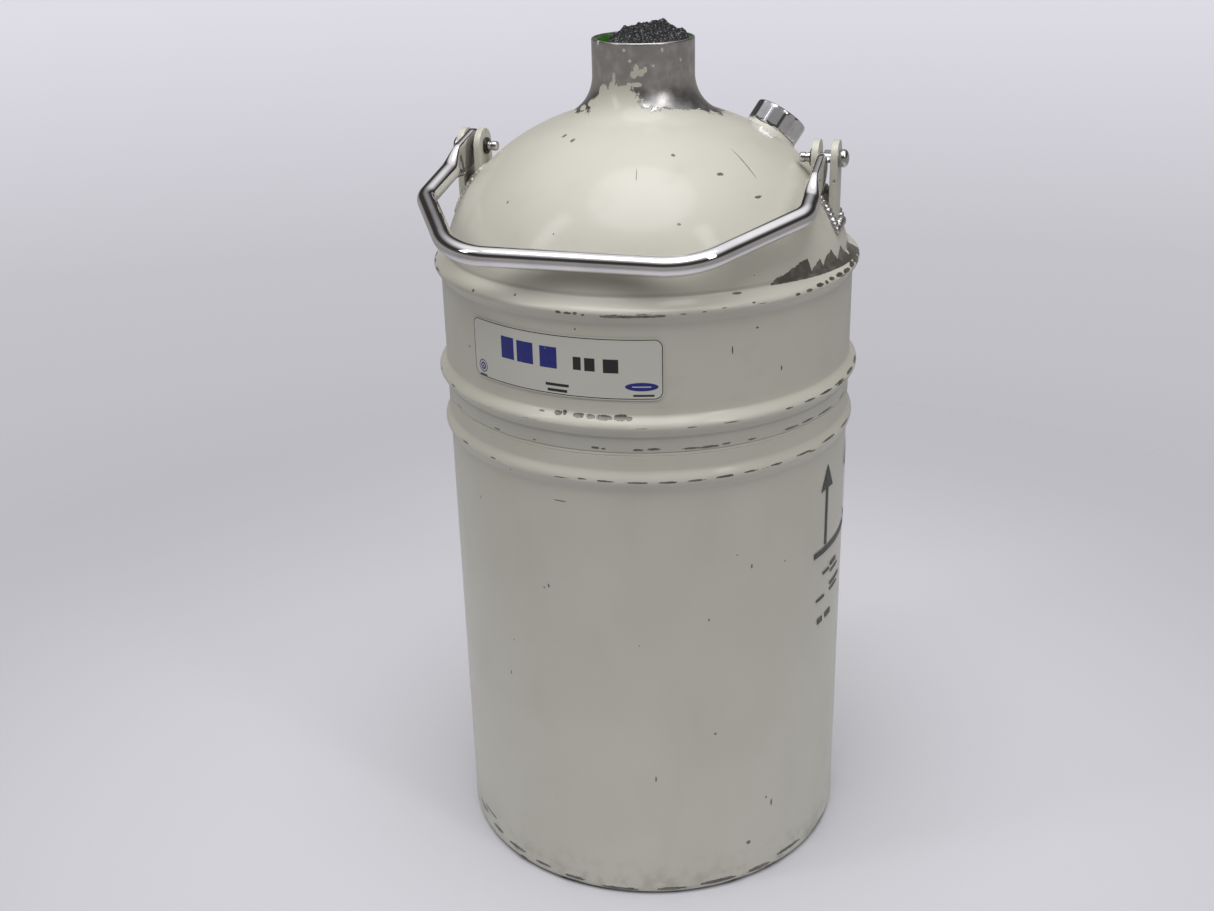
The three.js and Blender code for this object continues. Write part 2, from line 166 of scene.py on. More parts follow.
class Finish(Shading):
    """A material, its shader, and the ways a pattern is laid over a piece."""

    def __init__(self, name, **constants):
        self.material = bpy.data.materials.new(name)
        self.material.use_nodes = True
        super().__init__(self.material.node_tree)
        self.shader = self.tree.nodes["Principled BSDF"]
        for socket, value in constants.items():
            self.shader.inputs[socket.replace("_", " ")].default_value = value
        self.place = self.node("ShaderNodeTexCoord", {}, {}, "Object")

    def feed(self, **channels):
        for socket, channel in channels.items():
            self.tree.links.new(channel.socket, self.shader.inputs[socket.replace("_", " ")])

    def vector(self, operation, first, second, third=(0, 0, 0)):
        settings = {"operation": operation}
        return self.node("ShaderNodeVectorMath", settings, {0: first, 1: second, 2: third})

    def parts(self, vector):
        return [self.node("ShaderNodeSeparateXYZ", {}, {0: vector}, i) for i in range(3)]

    def grain(self, size, detail=2, place=None, rough=0.5, seed=0):
        """Noise whose lumps are about size millimetres."""
        inputs = {
            "Vector": self.shift(place or self.place, seed),
            "Scale": 1 / (size * MM),
            "Detail": detail,
            "Roughness": rough,
        }
        return self.node("ShaderNodeTexNoise", {}, inputs)

    def shift(self, place, seed):
        if not seed:
            return place
        return self.vector("ADD", place, (seed * 0.37, seed * 0.11, seed * 0.23))

    def stretched(self, place, factors):
        return self.vector("MULTIPLY", place, factors)

    def cells(self, size, output="Distance", place=None):
        inputs = {"Vector": place or self.place, "Scale": 1 / (size * MM)}
        return self.node("ShaderNodeTexVoronoi", {}, inputs, output)

    def bearings(self):
        """(bearing in degrees, radius in mm, height in mm, unrolled place in metres)."""
        x, y, z = self.parts(self.place)
        turn = x.maths("ARCTAN2", y * -1)
        radius = (x * x + y * y).maths("SQRT")
        inputs = {0: turn * (BODY_R * MM), 1: z, 2: radius * 0.3}
        unrolled = self.node("ShaderNodeCombineXYZ", {}, inputs)
        return turn * (180 / math.pi), radius / MM, z / MM, unrolled

    def bumps(self, height, depth, strength=1.0, under=None):
        """A surface whose relief is depth millimetres for a height of 1."""
        inputs = {"Strength": strength, "Distance": depth * MM, "Height": height}
        if under:
            inputs["Normal"] = under
        return self.node("ShaderNodeBump", {}, inputs)

    def nearness(self, unrolled, spots):
        """1 at the middle of the nearest spot, 0 on its edge.

        A spot is (bearing, z, half wide, half high).
        """
        nearest = None
        for bearing, z, wide, high in spots:
            scale = (1 / (wide * MM), 1 / (high * MM), 0)
            centre = (math.radians(bearing) * BODY_R / wide, z / high, 0)
            offset = self.vector("MULTIPLY_ADD", unrolled, scale, [-c for c in centre])
            inputs = {0: offset}
            away = self.node("ShaderNodeVectorMath", {"operation": "LENGTH"}, inputs, 1)
            nearest = away if nearest is None else nearest & away
        return 1 - nearest


# ---------------------------------------------------------------- paint

PAINT = (0.585, 0.572, 0.495, 1)
PAINT_SHADE = (0.56, 0.547, 0.468, 1)
PRIMER = (0.68, 0.67, 0.61, 1)
BARE = (0.44, 0.425, 0.41, 1)
BARE_BRIGHT = (0.74, 0.735, 0.74, 1)
CHIP = (0.135, 0.125, 0.108, 1)
CHIP_PALE = (0.23, 0.215, 0.19, 1)
# Near black for the band just inside each chip's edge: painted shade under the paint's broken edge, with some
# grime.
EDGE_SHADE_AND_GRIME = (0.035, 0.032, 0.028, 1)


def painted(name, bare_field, dirt_and_shade=None, polished=None):
    """Gloss paint over aluminium. The field is above 0 where the paint has gone.

    Polished gives 1 where the bare metal has been rubbed bright, and 0 where it is a dull chip.
    """
    finish = Finish(name, Coat_Roughness=0.13, Coat_IOR=1.5)
    field = bare_field(finish)
    bare = field.step(-0.02, 0.02)
    lip = field.band(-0.07, 0.03, 0.04)
    # The band just inside each chip's edge, painted dark as shade under the paint's broken edge and as grime.
    edge_shade_and_grime = field.band(0.03, 0.025, 0.05)
    cloud = finish.grain(70, 2)
    faint = finish.grain(7, 5, seed=2)
    rubbed = polished(finish) if polished else None
    metal = finish.blend(faint.step(0.4, 0.7), CHIP, CHIP_PALE)
    if rubbed:
        metal = finish.blend(rubbed, metal, finish.blend(faint.step(0.4, 0.75) * 0.5, BARE, BARE_BRIGHT))
    # Darkens the chip's edge band: painted shade and grime.
    metal = finish.blend(edge_shade_and_grime * 0.85, metal, EDGE_SHADE_AND_GRIME)
    tone = finish.blend(cloud.step(0.3, 0.7), PAINT_SHADE, PAINT)
    tone = finish.blend(lip * 0.35, tone, PRIMER)
    # Darkens the paint with dirt, and on the upper shell also with painted shade in its creases.
    if dirt_and_shade:
        tone = finish.blend(dirt_and_shade(finish), tone, (0.19, 0.175, 0.14, 1))
    peel = finish.grain(2.6, 2, seed=5)
    wear = finish.grain(24, 4, seed=7)
    brushed = finish.grain(0.9, 3, finish.stretched(finish.place, (0.1, 0.1, 1.8)), seed=3)
    pitted = finish.grain(1.3, 3, rough=0.7, seed=13).step(0.6, 0.7)
    skin = finish.bumps(peel * 0.2 + (brushed * 0.5 - pitted * 1.2) * bare, 0.05, 0.5)
    normal = finish.bumps((1 - bare) + lip * 0.2, 0.16, 0.9, skin)
    dull = 0.45 + (rubbed * 0.5 if rubbed else 0.0)
    finish.feed(
        Base_Color=finish.blend(bare, tone, metal),
        Metallic=bare * (1 - edge_shade_and_grime * 0.7) * dull,
        Roughness=(0.4 + wear * 0.14) * (1 - bare) + bare * (0.23 + faint * 0.2 + pitted * 0.15),
        Coat_Weight=(1 - bare) * 0.36,
        Normal=normal,
    )
    return finish


PATCH_STOPS = [
    (0.0, 0.06), (0.058, 0.18), (0.096, 0.24), (0.154, 0.34), (0.21, 0.44), (0.25, 0.5), (0.287, 0.56),
    (0.306, 0.16), (0.327, 0.22), (0.365, 0.33), (0.4, 0.44), (0.415, 0.2), (0.44, 0.32), (0.48, 0.46),
    (0.535, 0.54), (0.565, 0.38), (0.6, 0.16), (0.64, 0.34), (0.69, 0.5), (0.73, 0.3), (0.78, 0.12),
    (0.85, 0.3), (0.93, 0.4), (1.0, 0.0),
]
PATCH_FROM, PATCH_SPAN = 49, 52  # bearings
PATCH_MIDDLE = PATCH_FROM + PATCH_SPAN / 2
PATCH_HIGH = 19

TOP_SPOTS = [
    (55.4, 403.6, 1.6, 0.7), (59.6, 403.8, 2.6, 0.7), (64, 404.6, 3.2, 0.9), (67.2, 404.4, 1.4, 0.9),
    (70, 405, 2.2, 0.9), (74.2, 404.8, 3.6, 0.9), (79, 404.6, 4.4, 1.0), (84.4, 405, 4, 1.2),
    (90, 405, 6, 1.3), (98, 404.6, 8, 1.2), (-6.6, 402.6, 1.4, 0.8), (-4.2, 402.4, 2.0, 0.7),
    (-2.2, 402.6, 1.2, 0.8), (-0.3, 402, 0.9, 0.6), (6.6, 401.7, 6, 0.85), (10.4, 401.7, 5.4, 0.8),
    (14.6, 401.9, 7, 0.85), (18, 402, 4, 0.7), (24, 402.6, 1.6, 0.3), (29, 403, 1.2, 0.3),
    (38.5, 409.4, 2.8, 0.5), (34, 404, 1.2, 0.3), (42, 404.5, 1.0, 0.4), (-34, 404.6, 0.9, 0.7),
    (-58, 404, 5, 0.5), (-66, 404.6, 4, 0.5), (-72, 405, 5, 0.6), (-20, 407.4, 0.7, 0.5),
    (-8.2, 340.3, 2.4, 1.1), (-6.4, 340.9, 1.2, 1.2), (-2.6, 340.4, 3.2, 1.1), (0.6, 340.2, 2.2, 1.0),
    (4, 340.2, 4.2, 1.2), (8.2, 340.6, 3.6, 1.5), (10.4, 340, 1.8, 0.9), (-13, 340.2, 1.8, 0.5),
    (26, 335, 2.2, 0.3), (36, 335.2, 4, 0.3), (53, 335.6, 3, 0.4), (61, 335.8, 4.5, 0.5),
    (68, 336, 5.5, 0.6), (76, 336.4, 6, 0.6), (85, 336.8, 6.5, 0.7), (94, 337, 7, 0.6),
    (-48, 336, 3, 0.4), (-62, 336.4, 2.4, 0.4), (1.4, 320.6, 2.2, 0.6), (3.6, 320.3, 1.2, 0.5),
    (12.6, 320.2, 2.8, 0.6), (16.5, 320.6, 3.4, 0.7), (26, 320, 4.4, 0.6), (31, 319.8, 5.2, 0.7),
    (35.5, 320.2, 2.6, 0.5), (43, 320, 2.6, 0.5), (56, 320, 6, 0.6), (63, 320.3, 5, 0.6),
    (72, 320, 8, 0.7), (85, 320, 7, 0.6), (-16, 320, 1.2, 0.4), (-29, 319.8, 2.5, 0.5),
    (-50, 320, 4, 0.5), (-30, 428, 0.8, 0.6), (25, 447, 1.2, 0.5), (54, 455, 3.0, 0.55),
    (60, 437, 2.4, 0.5), (44, 468, 2.6, 0.6), (12, 470, 0.35, 2.4), (-12, 441, 0.5, 0.5),
    (5, 430, 0.5, 0.5), (58, 470, 0.4, 6.5), (-34, 452, 0.6, 0.6), (28, 478, 1.8, 0.6),
    (-26, 483, 2.6, 0.7), (-35, 484, 2.0, 0.6), (37, 377, 0.4, 2.2), (44, 388, 0.8, 0.5),
    (-40, 366, 0.7, 0.7), (-3, 392, 0.5, 0.5), (52, 360, 0.5, 1.3), (150, 440, 2, 1),
    (-120, 425, 2.4, 0.8), (175, 403, 9, 0.6), (-150, 403.6, 7, 0.6), (140, 336, 8, 0.6),
    (-105, 336.4, 7, 0.5),
]

LOW_SPOTS = [
    (-2, 301.2, 2.6, 0.45), (4, 300.9, 4.2, 0.5), (12, 300.6, 5.5, 0.5), (20, 300.5, 4.5, 0.6),
    (27, 300.6, 5, 0.55), (35, 300.8, 5.5, 0.6), (42, 301, 4, 0.5), (50, 301.2, 4, 0.45),
    (60, 301.6, 5.5, 0.5), (72, 302, 7, 0.55), (-9, 283.4, 3.6, 0.35), (-30, 301, 2.4, 0.4),
    (-24, 297, 0.8, 0.5), (-44, 301.4, 3.6, 0.4), (-39, 267, 0.4, 1.2), (-13.5, 224, 0.6, 1.1),
    (-15, 222, 0.5, 0.5), (39, 246, 0.5, 0.5), (43.5, 236, 0.5, 1.3), (55, 232, 0.5, 0.6),
    (31, 205, 0.4, 0.9), (12, 190, 0.45, 0.45), (-27, 176, 0.5, 0.5), (-29, 150, 0.4, 1.3),
    (16, 92, 0.5, 1.8), (50, 61, 0.8, 0.8), (52, 55, 0.6, 2.4), (84, 302, 7, 0.5), (44, 30, 1.4, 1.4),
    (33, 122, 0.7, 0.7), (-46, 18, 9, 1.0), (-52, 14, 8, 1.6), (-41, 11, 6, 1.4), (-31, 9, 8, 1.2),
    (-20, 7.5, 6, 1.0), (-9, 6, 7, 1.1), (5, 4, 12, 1.2), (20, 5, 9, 1.3), (34, 6, 12, 1.2),
    (48, 6, 9, 1.4), (60, 9, 10, 1.2), (-63, 8, 9, 1.4), (78, 5, 12, 1.4), (-85, 6, 12, 1.2),
    (118, 6, 14, 1.3), (150, 5, 12, 1.2), (-130, 6, 14, 1.3), (103, 240, 0.9, 2.4),
    (140, 190, 1.0, 1.2), (-110, 150, 0.9, 2.2), (-150, 230, 1.1, 1.1), (170, 90, 1.0, 2.2),
    (-95, 301.6, 10, 0.8), (125, 302, 12, 0.8), (160, 301.6, 8, 0.8),
]

EDGE_STOPS = [
    (0.0, 0.46), (0.17, 0.44), (0.31, 0.42), (0.36, 0.47), (0.42, 0.56), (0.5, 0.58), (0.57, 0.62),
    (0.61, 0.58), (0.67, 0.5), (0.72, 0.44), (0.775, 0.3), (0.85, 0.28), (0.92, 0.4), (1.0, 0.46),
]
EDGE_LOW, EDGE_SPAN = 480, 30

ISLANDS = [
    (-24, 500, 50, 6.5), (-13, 502, 56, 8.5), (-3, 498, 40, 6), (-22, 508, 10, 4.5), (-33, 506, 16, 5),
    (-5, 509.5, 20, 1.5), (4, 517.2, 9, 2.2), (7.6, 519.8, 8, 3.0), (13, 518.6, 9, 2.4),
    (17, 519.8, 6, 1.8), (0.5, 525, 4.5, 1.0), (7, 511.5, 14, 1.2), (-19, 514, 4.5, 4.4),
    (-1, 510.8, 7, 2), (26, 522, 3, 0.9), (-6, 531, 4, 0.9), (36, 531, 4, 1.4), (-44, 534, 5, 1.4),
    (60, 524, 3.6, 1.0), (60, 492, 40, 3.5), (44, 493.5, 30, 3.5), (-47, 499, 16, 2),
    (-58, 495.5, 14, 1.6),
]


def crest_wear(finish, z, unrolled, crest_z):
    """Rubbed dashes along a bead's crest, above 0 where it is worn through."""
    dashes = finish.grain(8, 4, finish.stretched(unrolled, (0.5, 4.0, 1)), seed=crest_z)
    reach = (1 - abs(z - crest_z - 0.4) / 1.6) * 0.24
    return dashes - 0.85 + reach


def upper_bare(finish):
    bearing, _, z, unrolled = finish.bearings()
    rag = finish.grain(5.2, 5, rough=0.68, seed=11) - 0.5
    fine = finish.grain(1.6, 3, rough=0.65, seed=12) - 0.5
    edge = (bearing / 360 + 0.5).curve(EDGE_STOPS) * EDGE_SPAN + EDGE_LOW
    neck = (z - edge) / 7 + rag * 1.9 + fine * 0.8
    island = finish.nearness(unrolled, ISLANDS) * 1.2 + rag * 1.3 + fine * 1.0
    neck = neck & (island * -2)
    chips = finish.nearness(unrolled, TOP_SPOTS) + rag * 0.8 + fine * 1.3 + 0.1
    ragged_top = ((bearing - PATCH_FROM) / PATCH_SPAN).curve(PATCH_STOPS) * PATCH_HIGH
    foot = 410 - (bearing - PATCH_FROM) * 0.1
    patch = (ragged_top + rag * 4.6 + fine * 2.4 - (z - foot)) / 3
    patch = patch & ((z - foot + fine * 0.8) * 0.8) & ((PATCH_SPAN / 2 - abs(bearing - PATCH_MIDDLE)) * 0.5)
    wear = crest_wear(finish, z, unrolled, TOP_BEAD[0]) | crest_wear(finish, z, unrolled, MIDDLE_BEAD[0])
    specks = finish.cells(34, place=finish.shift(finish.place, 3))
    pits = (0.014 - specks + fine * 0.02) * 6
    return neck | chips | patch | wear | pits


def lower_bare(finish):
    _, _, z, unrolled = finish.bearings()
    rag = finish.grain(6.5, 5, rough=0.62, seed=11) - 0.5
    fine = finish.grain(1.7, 3, rough=0.6, seed=12) - 0.5
    chips = finish.nearness(unrolled, LOW_SPOTS) + rag * 0.8 + fine * 1.3 + 0.1
    wear = crest_wear(finish, z, unrolled, LOW_BEAD[0])
    foot = finish.grain(8, 4, finish.stretched(unrolled, (0.5, 1.6, 1)), seed=9)
    foot = foot - 0.56 - z.step(0, 14) * 0.4
    specks = finish.cells(36, place=finish.shift(finish.place, 6))
    pits = (0.012 - specks + fine * 0.02) * 6
    return chips | wear | foot | pits


def handling_dirt(finish):
    """Grime that gathers by the foot, and in faint smears."""
    z = finish.bearings()[2]
    smear = finish.grain(30, 5, finish.stretched(finish.place, (1, 1, 0.35)), seed=15).step(0.5, 0.8)
    foot = (1 - z.step(2, 34)) * finish.grain(10, 5, seed=16).step(0.42, 0.75)
    return smear * 0.06 + foot * 0.4


# Faint dirt smears, and painted shade in the creases at the dome's foot and under the middle bead.
def upper_dirt_and_crease_shade(finish):
    z = finish.bearings()[2]
    smear = finish.grain(26, 5, seed=18).step(0.52, 0.82)
    # Painted shade: darker bands in the crease at the dome's foot and under the middle bead.
    crease_shade = z.band(411.5, 0.3, 1.2) + z.band(327.3, 0.3, 1.0)
    return smear * 0.1 + crease_shade * 0.22


def ear_bare(finish):
    rag = finish.grain(4.5, 4, rough=0.6, seed=21)
    return rag - 0.69


def bracket_dirt(finish):
    return finish.grain(12, 4, seed=22).step(0.55, 0.8) * 0.2


def neck_polish(finish):
    """1 on the neck, where cold and cloths have kept the metal bright."""
    return finish.bearings()[2].step(478, 488)


upper_paint = painted("cream_paint_upper_shell", upper_bare, upper_dirt_and_crease_shade, neck_polish)
lower_paint = painted("cream_paint_lower_shell", lower_bare, handling_dirt)
bracket_paint = painted("cream_paint_brackets", ear_bare, bracket_dirt)

# ---------------------------------------------------------------- metals and the rest


def metal(name, colour, worn, rough, smudge_size=18, line=(0.2, 0.2, 1.0), line_size=0.8, depth=0.02, **more):
    """Metal with smudges in its sheen and fine tool or rub lines."""
    finish = Finish(name, Metallic=1.0, **more)
    smudge = finish.grain(smudge_size, 4, seed=1)
    lines = finish.grain(line_size, 3, finish.stretched(finish.place, line), seed=2)
    spots = finish.grain(3.5, 4, rough=0.65, seed=4).step(0.62, 0.75)
    finish.feed(
        Base_Color=finish.blend(smudge.step(0.4, 0.75) * 0.6 | spots * 0.5, colour, worn),
        Roughness=rough + smudge * rough * 0.9 + spots * 0.12,
        Normal=finish.bumps(lines + spots * -0.6, depth, 0.6),
    )
    return finish


weld_metal = metal("weld_metal", (0.62, 0.61, 0.6, 1), (0.16, 0.15, 0.14, 1), 0.2, 3, (1, 1, 1), 1.2, 0.12)
vessel_metal = metal("vessel_aluminium", (0.66, 0.66, 0.67, 1), (0.5, 0.5, 0.51, 1), 0.26)
machined = metal("machined_aluminium", (0.74, 0.74, 0.75, 1), (0.56, 0.56, 0.56, 1), 0.18, 9)
HANDLE_BRIGHT, HANDLE_RUBBED = (0.78, 0.765, 0.77, 1), (0.6, 0.585, 0.59, 1)
chrome = metal("polished_handle", HANDLE_BRIGHT, HANDLE_RUBBED, 0.045, 26, (1, 1, 1), 6, 0.015)
cap_metal = metal("polished_cap", (0.86, 0.86, 0.88, 1), (0.62, 0.62, 0.64, 1), 0.1, 8, (1, 1, 1), 0.9, 0.02)
pin_steel = metal("pin_steel", (0.62, 0.61, 0.61, 1), (0.3, 0.29, 0.28, 1), 0.13, 5, (0.1, 1, 1), 0.5, 0.015)
ring_steel = metal("blackened_ring_steel", (0.07, 0.068, 0.066, 1), (0.03, 0.03, 0.03, 1), 0.3, 3)


def painted_weld():
    """The older weld beads: ripples under paint, with the paint worn off their tops."""
    finish = Finish("painted_weld", Coat_Roughness=0.15)
    worn = finish.grain(3.2, 4, rough=0.6, seed=31).step(0.56, 0.6)
    finish.feed(
        Base_Color=finish.blend(worn, PAINT_SHADE, (0.5, 0.49, 0.47, 1)),
        Metallic=worn,
        Roughness=0.38 - worn * 0.1,
        Coat_Weight=(1 - worn) * 0.5,
        Normal=finish.bumps(1 - worn, 0.1, 0.8),
    )
    return finish


def glass_fibre():
    """Green wound laminate with its turns just showing."""
    finish = Finish("glass_fibre_tube", Coat_Weight=0.35, Coat_Roughness=0.2)
    bearing, radius, z, unrolled = finish.bearings()
    turns = (z * 2.1 + bearing * 0.05).maths("SINE")
    cross = (z * 2.1 - bearing * 0.05).maths("SINE")
    weave = turns * cross
    cloud = finish.grain(7, 4)
    colour = finish.blend(cloud.step(0.35, 0.7), (0.035, 0.15, 0.012, 1), (0.085, 0.27, 0.03, 1))
    finish.feed(
        Base_Color=finish.blend(weave.step(0.2, 0.9) * 0.4, colour, (0.14, 0.33, 0.06, 1)),
        Roughness=0.38 + cloud * 0.2,
        Normal=finish.bumps(weave, 0.06, 0.5),
    )
    return finish


def broken_foam():
    """Black cellular foam: dark cells, with pale flecks as painted glints, dimmer lower down as painted
    shade.
    """
    finish = Finish("black_foam")
    cells = finish.cells(1.5)
    walls = finish.grain(0.9, 3, seed=3)
    painted_glints = (cells.step(0.48, 0.74) * walls.step(0.48, 0.62)) | finish.grain(2.2, 3, seed=8).step(0.66, 0.72)
    # Painted shade: the glints dim to a fifth below the rim's top, down in the neck's mouth.
    painted_glints = painted_glints * (0.22 + finish.bearings()[2].step(526, 532) * 0.78)
    finish.feed(
        Base_Color=finish.blend(painted_glints, (0.008, 0.008, 0.009, 1), (0.2, 0.2, 0.215, 1)),
        Roughness=0.92 - painted_glints * 0.4,
        Normal=finish.bumps(cells * -1 + walls * 0.5, 0.6, 0.9),
    )
    return finish


def foil():
    """Crinkled reflective foil."""
    finish = Finish("insulation_foil", Metallic=0.95)
    crease_shade = finish.cells(9) + finish.grain(4, 4) * 0.5
    finish.feed(
        Base_Color=finish.blend(finish.grain(20, 3, seed=4), (0.62, 0.63, 0.66, 1), (0.82, 0.82, 0.84, 1)),
        Roughness=0.16 + finish.grain(12, 3, seed=5) * 0.25,
        Normal=finish.bumps(crease_shade, 0.9, 0.8),
    )
    return finish


def pouch_cloth():
    """Spun-bonded pouch cloth over granules."""
    finish = Finish("getter_pouch")
    fibres = finish.grain(0.5, 3, finish.stretched(finish.place, (1, 0.3, 1)))
    granules = finish.cells(2.4)
    finish.feed(
        Base_Color=finish.blend(fibres.step(0.3, 0.7), (0.6, 0.58, 0.5, 1), (0.72, 0.7, 0.64, 1)),
        Roughness=0.82 + fibres * 0.15,
        Normal=finish.bumps(granules * -1 + fibres * 0.3, 0.5, 0.8),
    )
    return finish


def rubber():
    finish = Finish("black_rubber")
    bloom = finish.grain(4, 4)
    finish.feed(
        Base_Color=finish.blend(bloom, (0.012, 0.012, 0.012, 1), (0.035, 0.034, 0.033, 1)),
        Roughness=0.45 + bloom * 0.3,
        Normal=finish.bumps(finish.grain(0.6, 2, seed=2), 0.03, 0.5),
    )
    return finish


def resin():
    finish = Finish("bond_resin", Coat_Weight=0.5, Coat_Roughness=0.1)
    flow = finish.grain(6, 4)
    finish.feed(
        Base_Color=finish.blend(flow, (0.38, 0.3, 0.11, 1), (0.52, 0.44, 0.2, 1)),
        Roughness=0.25 + flow * 0.2,
        Normal=finish.bumps(flow, 0.4, 0.6),
    )
    return finish


LABEL_MIDDLE = -8.75  # bearing
LABEL_SPAN = 56.1
LABEL_LOW, LABEL_HIGH = 351, 388
LABEL_CORNER = 5.5


def block(along, z, bearing, half_bearing, middle_z, half_z, soft=0.25):
    """A printed bar. Bearings in degrees become lengths round the body."""
    wide = math.radians(half_bearing) * BODY_R
    return along.band(math.radians(bearing) * BODY_R, wide, soft) * z.band(middle_z, half_z, soft)


BLUE_BARS = [(-23.3, 2.1, 374.3, 6.6), (-17.6, 2.5, 374.0, 6.4), (-10.6, 2.4, 373.6, 6.3)]
BLACK_BARS = [(-2.7, 1.0, 371.8, 3.8), (0.6, 1.3, 371.6, 3.8), (6.0, 1.9, 371.3, 4.0)]
SMALL_BARS = [(-8.3, 3.2, 357.4, 0.75), (-8.3, 2.7, 354.0, 0.75), (14.2, 2.6, 353.9, 0.5),
              (-33.1, 1.4, 352.7, 0.4)]


def label_film():
    """Printed film: plain bars and shapes stand in for its lettering."""
    finish = Finish("label_film", Coat_Weight=0.4, Coat_Roughness=0.16)
    bearing, radius, z, unrolled = finish.bearings()
    along = bearing * (math.pi / 180 * BODY_R)
    half_wide = math.radians(LABEL_SPAN / 2) * BODY_R - LABEL_CORNER
    half_high = (LABEL_HIGH - LABEL_LOW) / 2 - LABEL_CORNER
    over = abs(along - math.radians(LABEL_MIDDLE) * BODY_R) - half_wide | 0.0
    above = abs(z - (LABEL_LOW + LABEL_HIGH) / 2) - half_high | 0.0
    out = (over * over + above * above).maths("SQRT")
    border = out.band(LABEL_CORNER - 0.85, 0.22, 0.12)
    blue = None
    for bar in BLUE_BARS:
        mark = block(along, z, *bar)
        blue = mark if blue is None else blue | mark
    oval = finish.nearness(unrolled, [(13.7, 359.2, 9.6, 2.6)]).step(-0.02, 0.04)
    stripe = z.band(359.2, 0.22, 0.16) * along.band(math.radians(13.7) * BODY_R, 5.2, 0.3)
    blue = blue | oval * (1 - stripe)
    seal = finish.nearness(unrolled, [(-33.1, 358.2, 4.0, 4.0)])
    blue = blue | seal.band(0.1, 0.06, 0.05) | seal.band(0.55, 0.1, 0.08) | seal.step(0.8, 0.84)
    black = border
    for bar in BLACK_BARS + SMALL_BARS:
        black = black | block(along, z, *bar)
    worn = finish.grain(5, 5, rough=0.7, seed=41).step(0.66, 0.7)
    cloud = finish.grain(30, 3)
    film = finish.blend(cloud, (0.585, 0.577, 0.52, 1), (0.625, 0.615, 0.555, 1))
    colour = finish.blend(blue * (1 - worn * 0.4), film, (0.006, 0.012, 0.2, 1))
    colour = finish.blend(black * (1 - worn * 0.5), colour, (0.008, 0.008, 0.009, 1))
    finish.feed(
        Base_Color=colour,
        Roughness=0.3 + cloud * 0.14 + worn * 0.1,
        Normal=finish.bumps(finish.grain(14, 3, seed=6), 0.12, 0.5),
    )
    return finish


def decal_ink():
    finish = Finish("decal_ink", Coat_Weight=0.15)
    worn = finish.grain(3.2, 4, rough=0.65)
    finish.feed(
        Base_Color=finish.blend(worn.step(0.45, 0.72), (0.042, 0.04, 0.038, 1), (0.12, 0.115, 0.105, 1)),
        Roughness=0.4 + worn * 0.3,
        Normal=finish.bumps(worn, 0.03, 0.5),
    )
    return finish


# ---------------------------------------------------------------- mesh building


def spun(outline, sides=VESSEL_SIDES):
    """A solid turned about Z from a closed outline of (radius, height)."""
    mesh = bmesh.new()
    corners = [mesh.verts.new((r * MM, 0, z * MM)) for r, z in outline]
    pairs = list(zip(corners, corners[1:] + corners[:1]))
    if outline[0][0] == 0 and outline[-1][0] == 0:
        pairs.pop()
    edges = [mesh.edges.new(pair) for pair in pairs]
    axis = {"cent": (0, 0, 0), "axis": (0, 0, 1), "dvec": (0, 0, 0), "angle": math.tau}
    bmesh.ops.spin(mesh, geom=corners + edges, steps=sides, use_merge=True, **axis)
    bmesh.ops.remove_doubles(mesh, verts=mesh.verts, dist=1e-6)
    bmesh.ops.recalc_face_normals(mesh, faces=mesh.faces)
    return mesh


def grown(outline, distance):
    """An outline that runs outwards and down, moved out of the material by a distance."""
    moved = []
    for i, (r, z) in enumerate(outline):
        before = Vector(outline[max(i - 1, 0)])
        after = Vector(outline[min(i + 1, len(outline) - 1)])
        along = (after - before).normalized()
        moved.append((r - along.y * distance, z + along.x * distance))
    return moved


def superellipse(angle, half_across, half_up, squareness):
    c, s = math.cos(angle), math.sin(angle)
    power = 2 / squareness
    across = math.copysign(abs(c) ** power, c) * half_across
    up = math.copysign(abs(s) ** power, s) * half_up
    return across, up


def swept(rings, sides, closed=False):
    """A skin through rings of (centre, across, up, half across, half up, squareness), in mm."""
    mesh = bmesh.new()
    first = bmesh.ops.create_circle(mesh, cap_ends=False, segments=sides, radius=1)["verts"]
    turn = {v: math.atan2(v.co.y, v.co.x) for v in first}
    edges = mesh.edges[:]
    first_edges = edges
    for i, (centre, across, up, half_across, half_up, squareness) in enumerate(rings):
        if i:
            made = bmesh.ops.extrude_edge_only(mesh, edges=edges)["geom"]
            fresh = [g for g in made if isinstance(g, bmesh.types.BMVert)]
            behind = {v: next(o for o in (e.other_vert(v) for e in v.link_edges) if o in turn) for v in fresh}
            turn = {v: turn[old] for v, old in behind.items()}
            edges = [e for e in made if isinstance(e, bmesh.types.BMEdge) and all(v in turn for v in e.verts)]
        for v, angle in turn.items():
            a, u = superellipse(angle, half_across, half_up, squareness)
            v.co = (centre + across * a + up * u) * MM
    if closed:
        bmesh.ops.bridge_loops(mesh, edges=first_edges + edges)
    else:
        bmesh.ops.holes_fill(mesh, edges=first_edges + edges, sides=0)
    bmesh.ops.remove_doubles(mesh, verts=mesh.verts, dist=1e-7)
    bmesh.ops.recalc_face_normals(mesh, faces=mesh.faces)
    return mesh


def rounded(mesh, width, segments=3, sharper_than=50):
    """Rounds every edge sharper than an angle."""
    limit = math.radians(sharper_than)
    edges = [e for e in mesh.edges if len(e.link_faces) == 2 and e.calc_face_angle(0) > limit]
    form = {"affect": "EDGES", "segments": segments, "profile": 0.5, "material": -1}
    bmesh.ops.bevel(mesh, geom=edges, offset=width * MM, offset_type="OFFSET", clamp_overlap=True, **form)
    return mesh


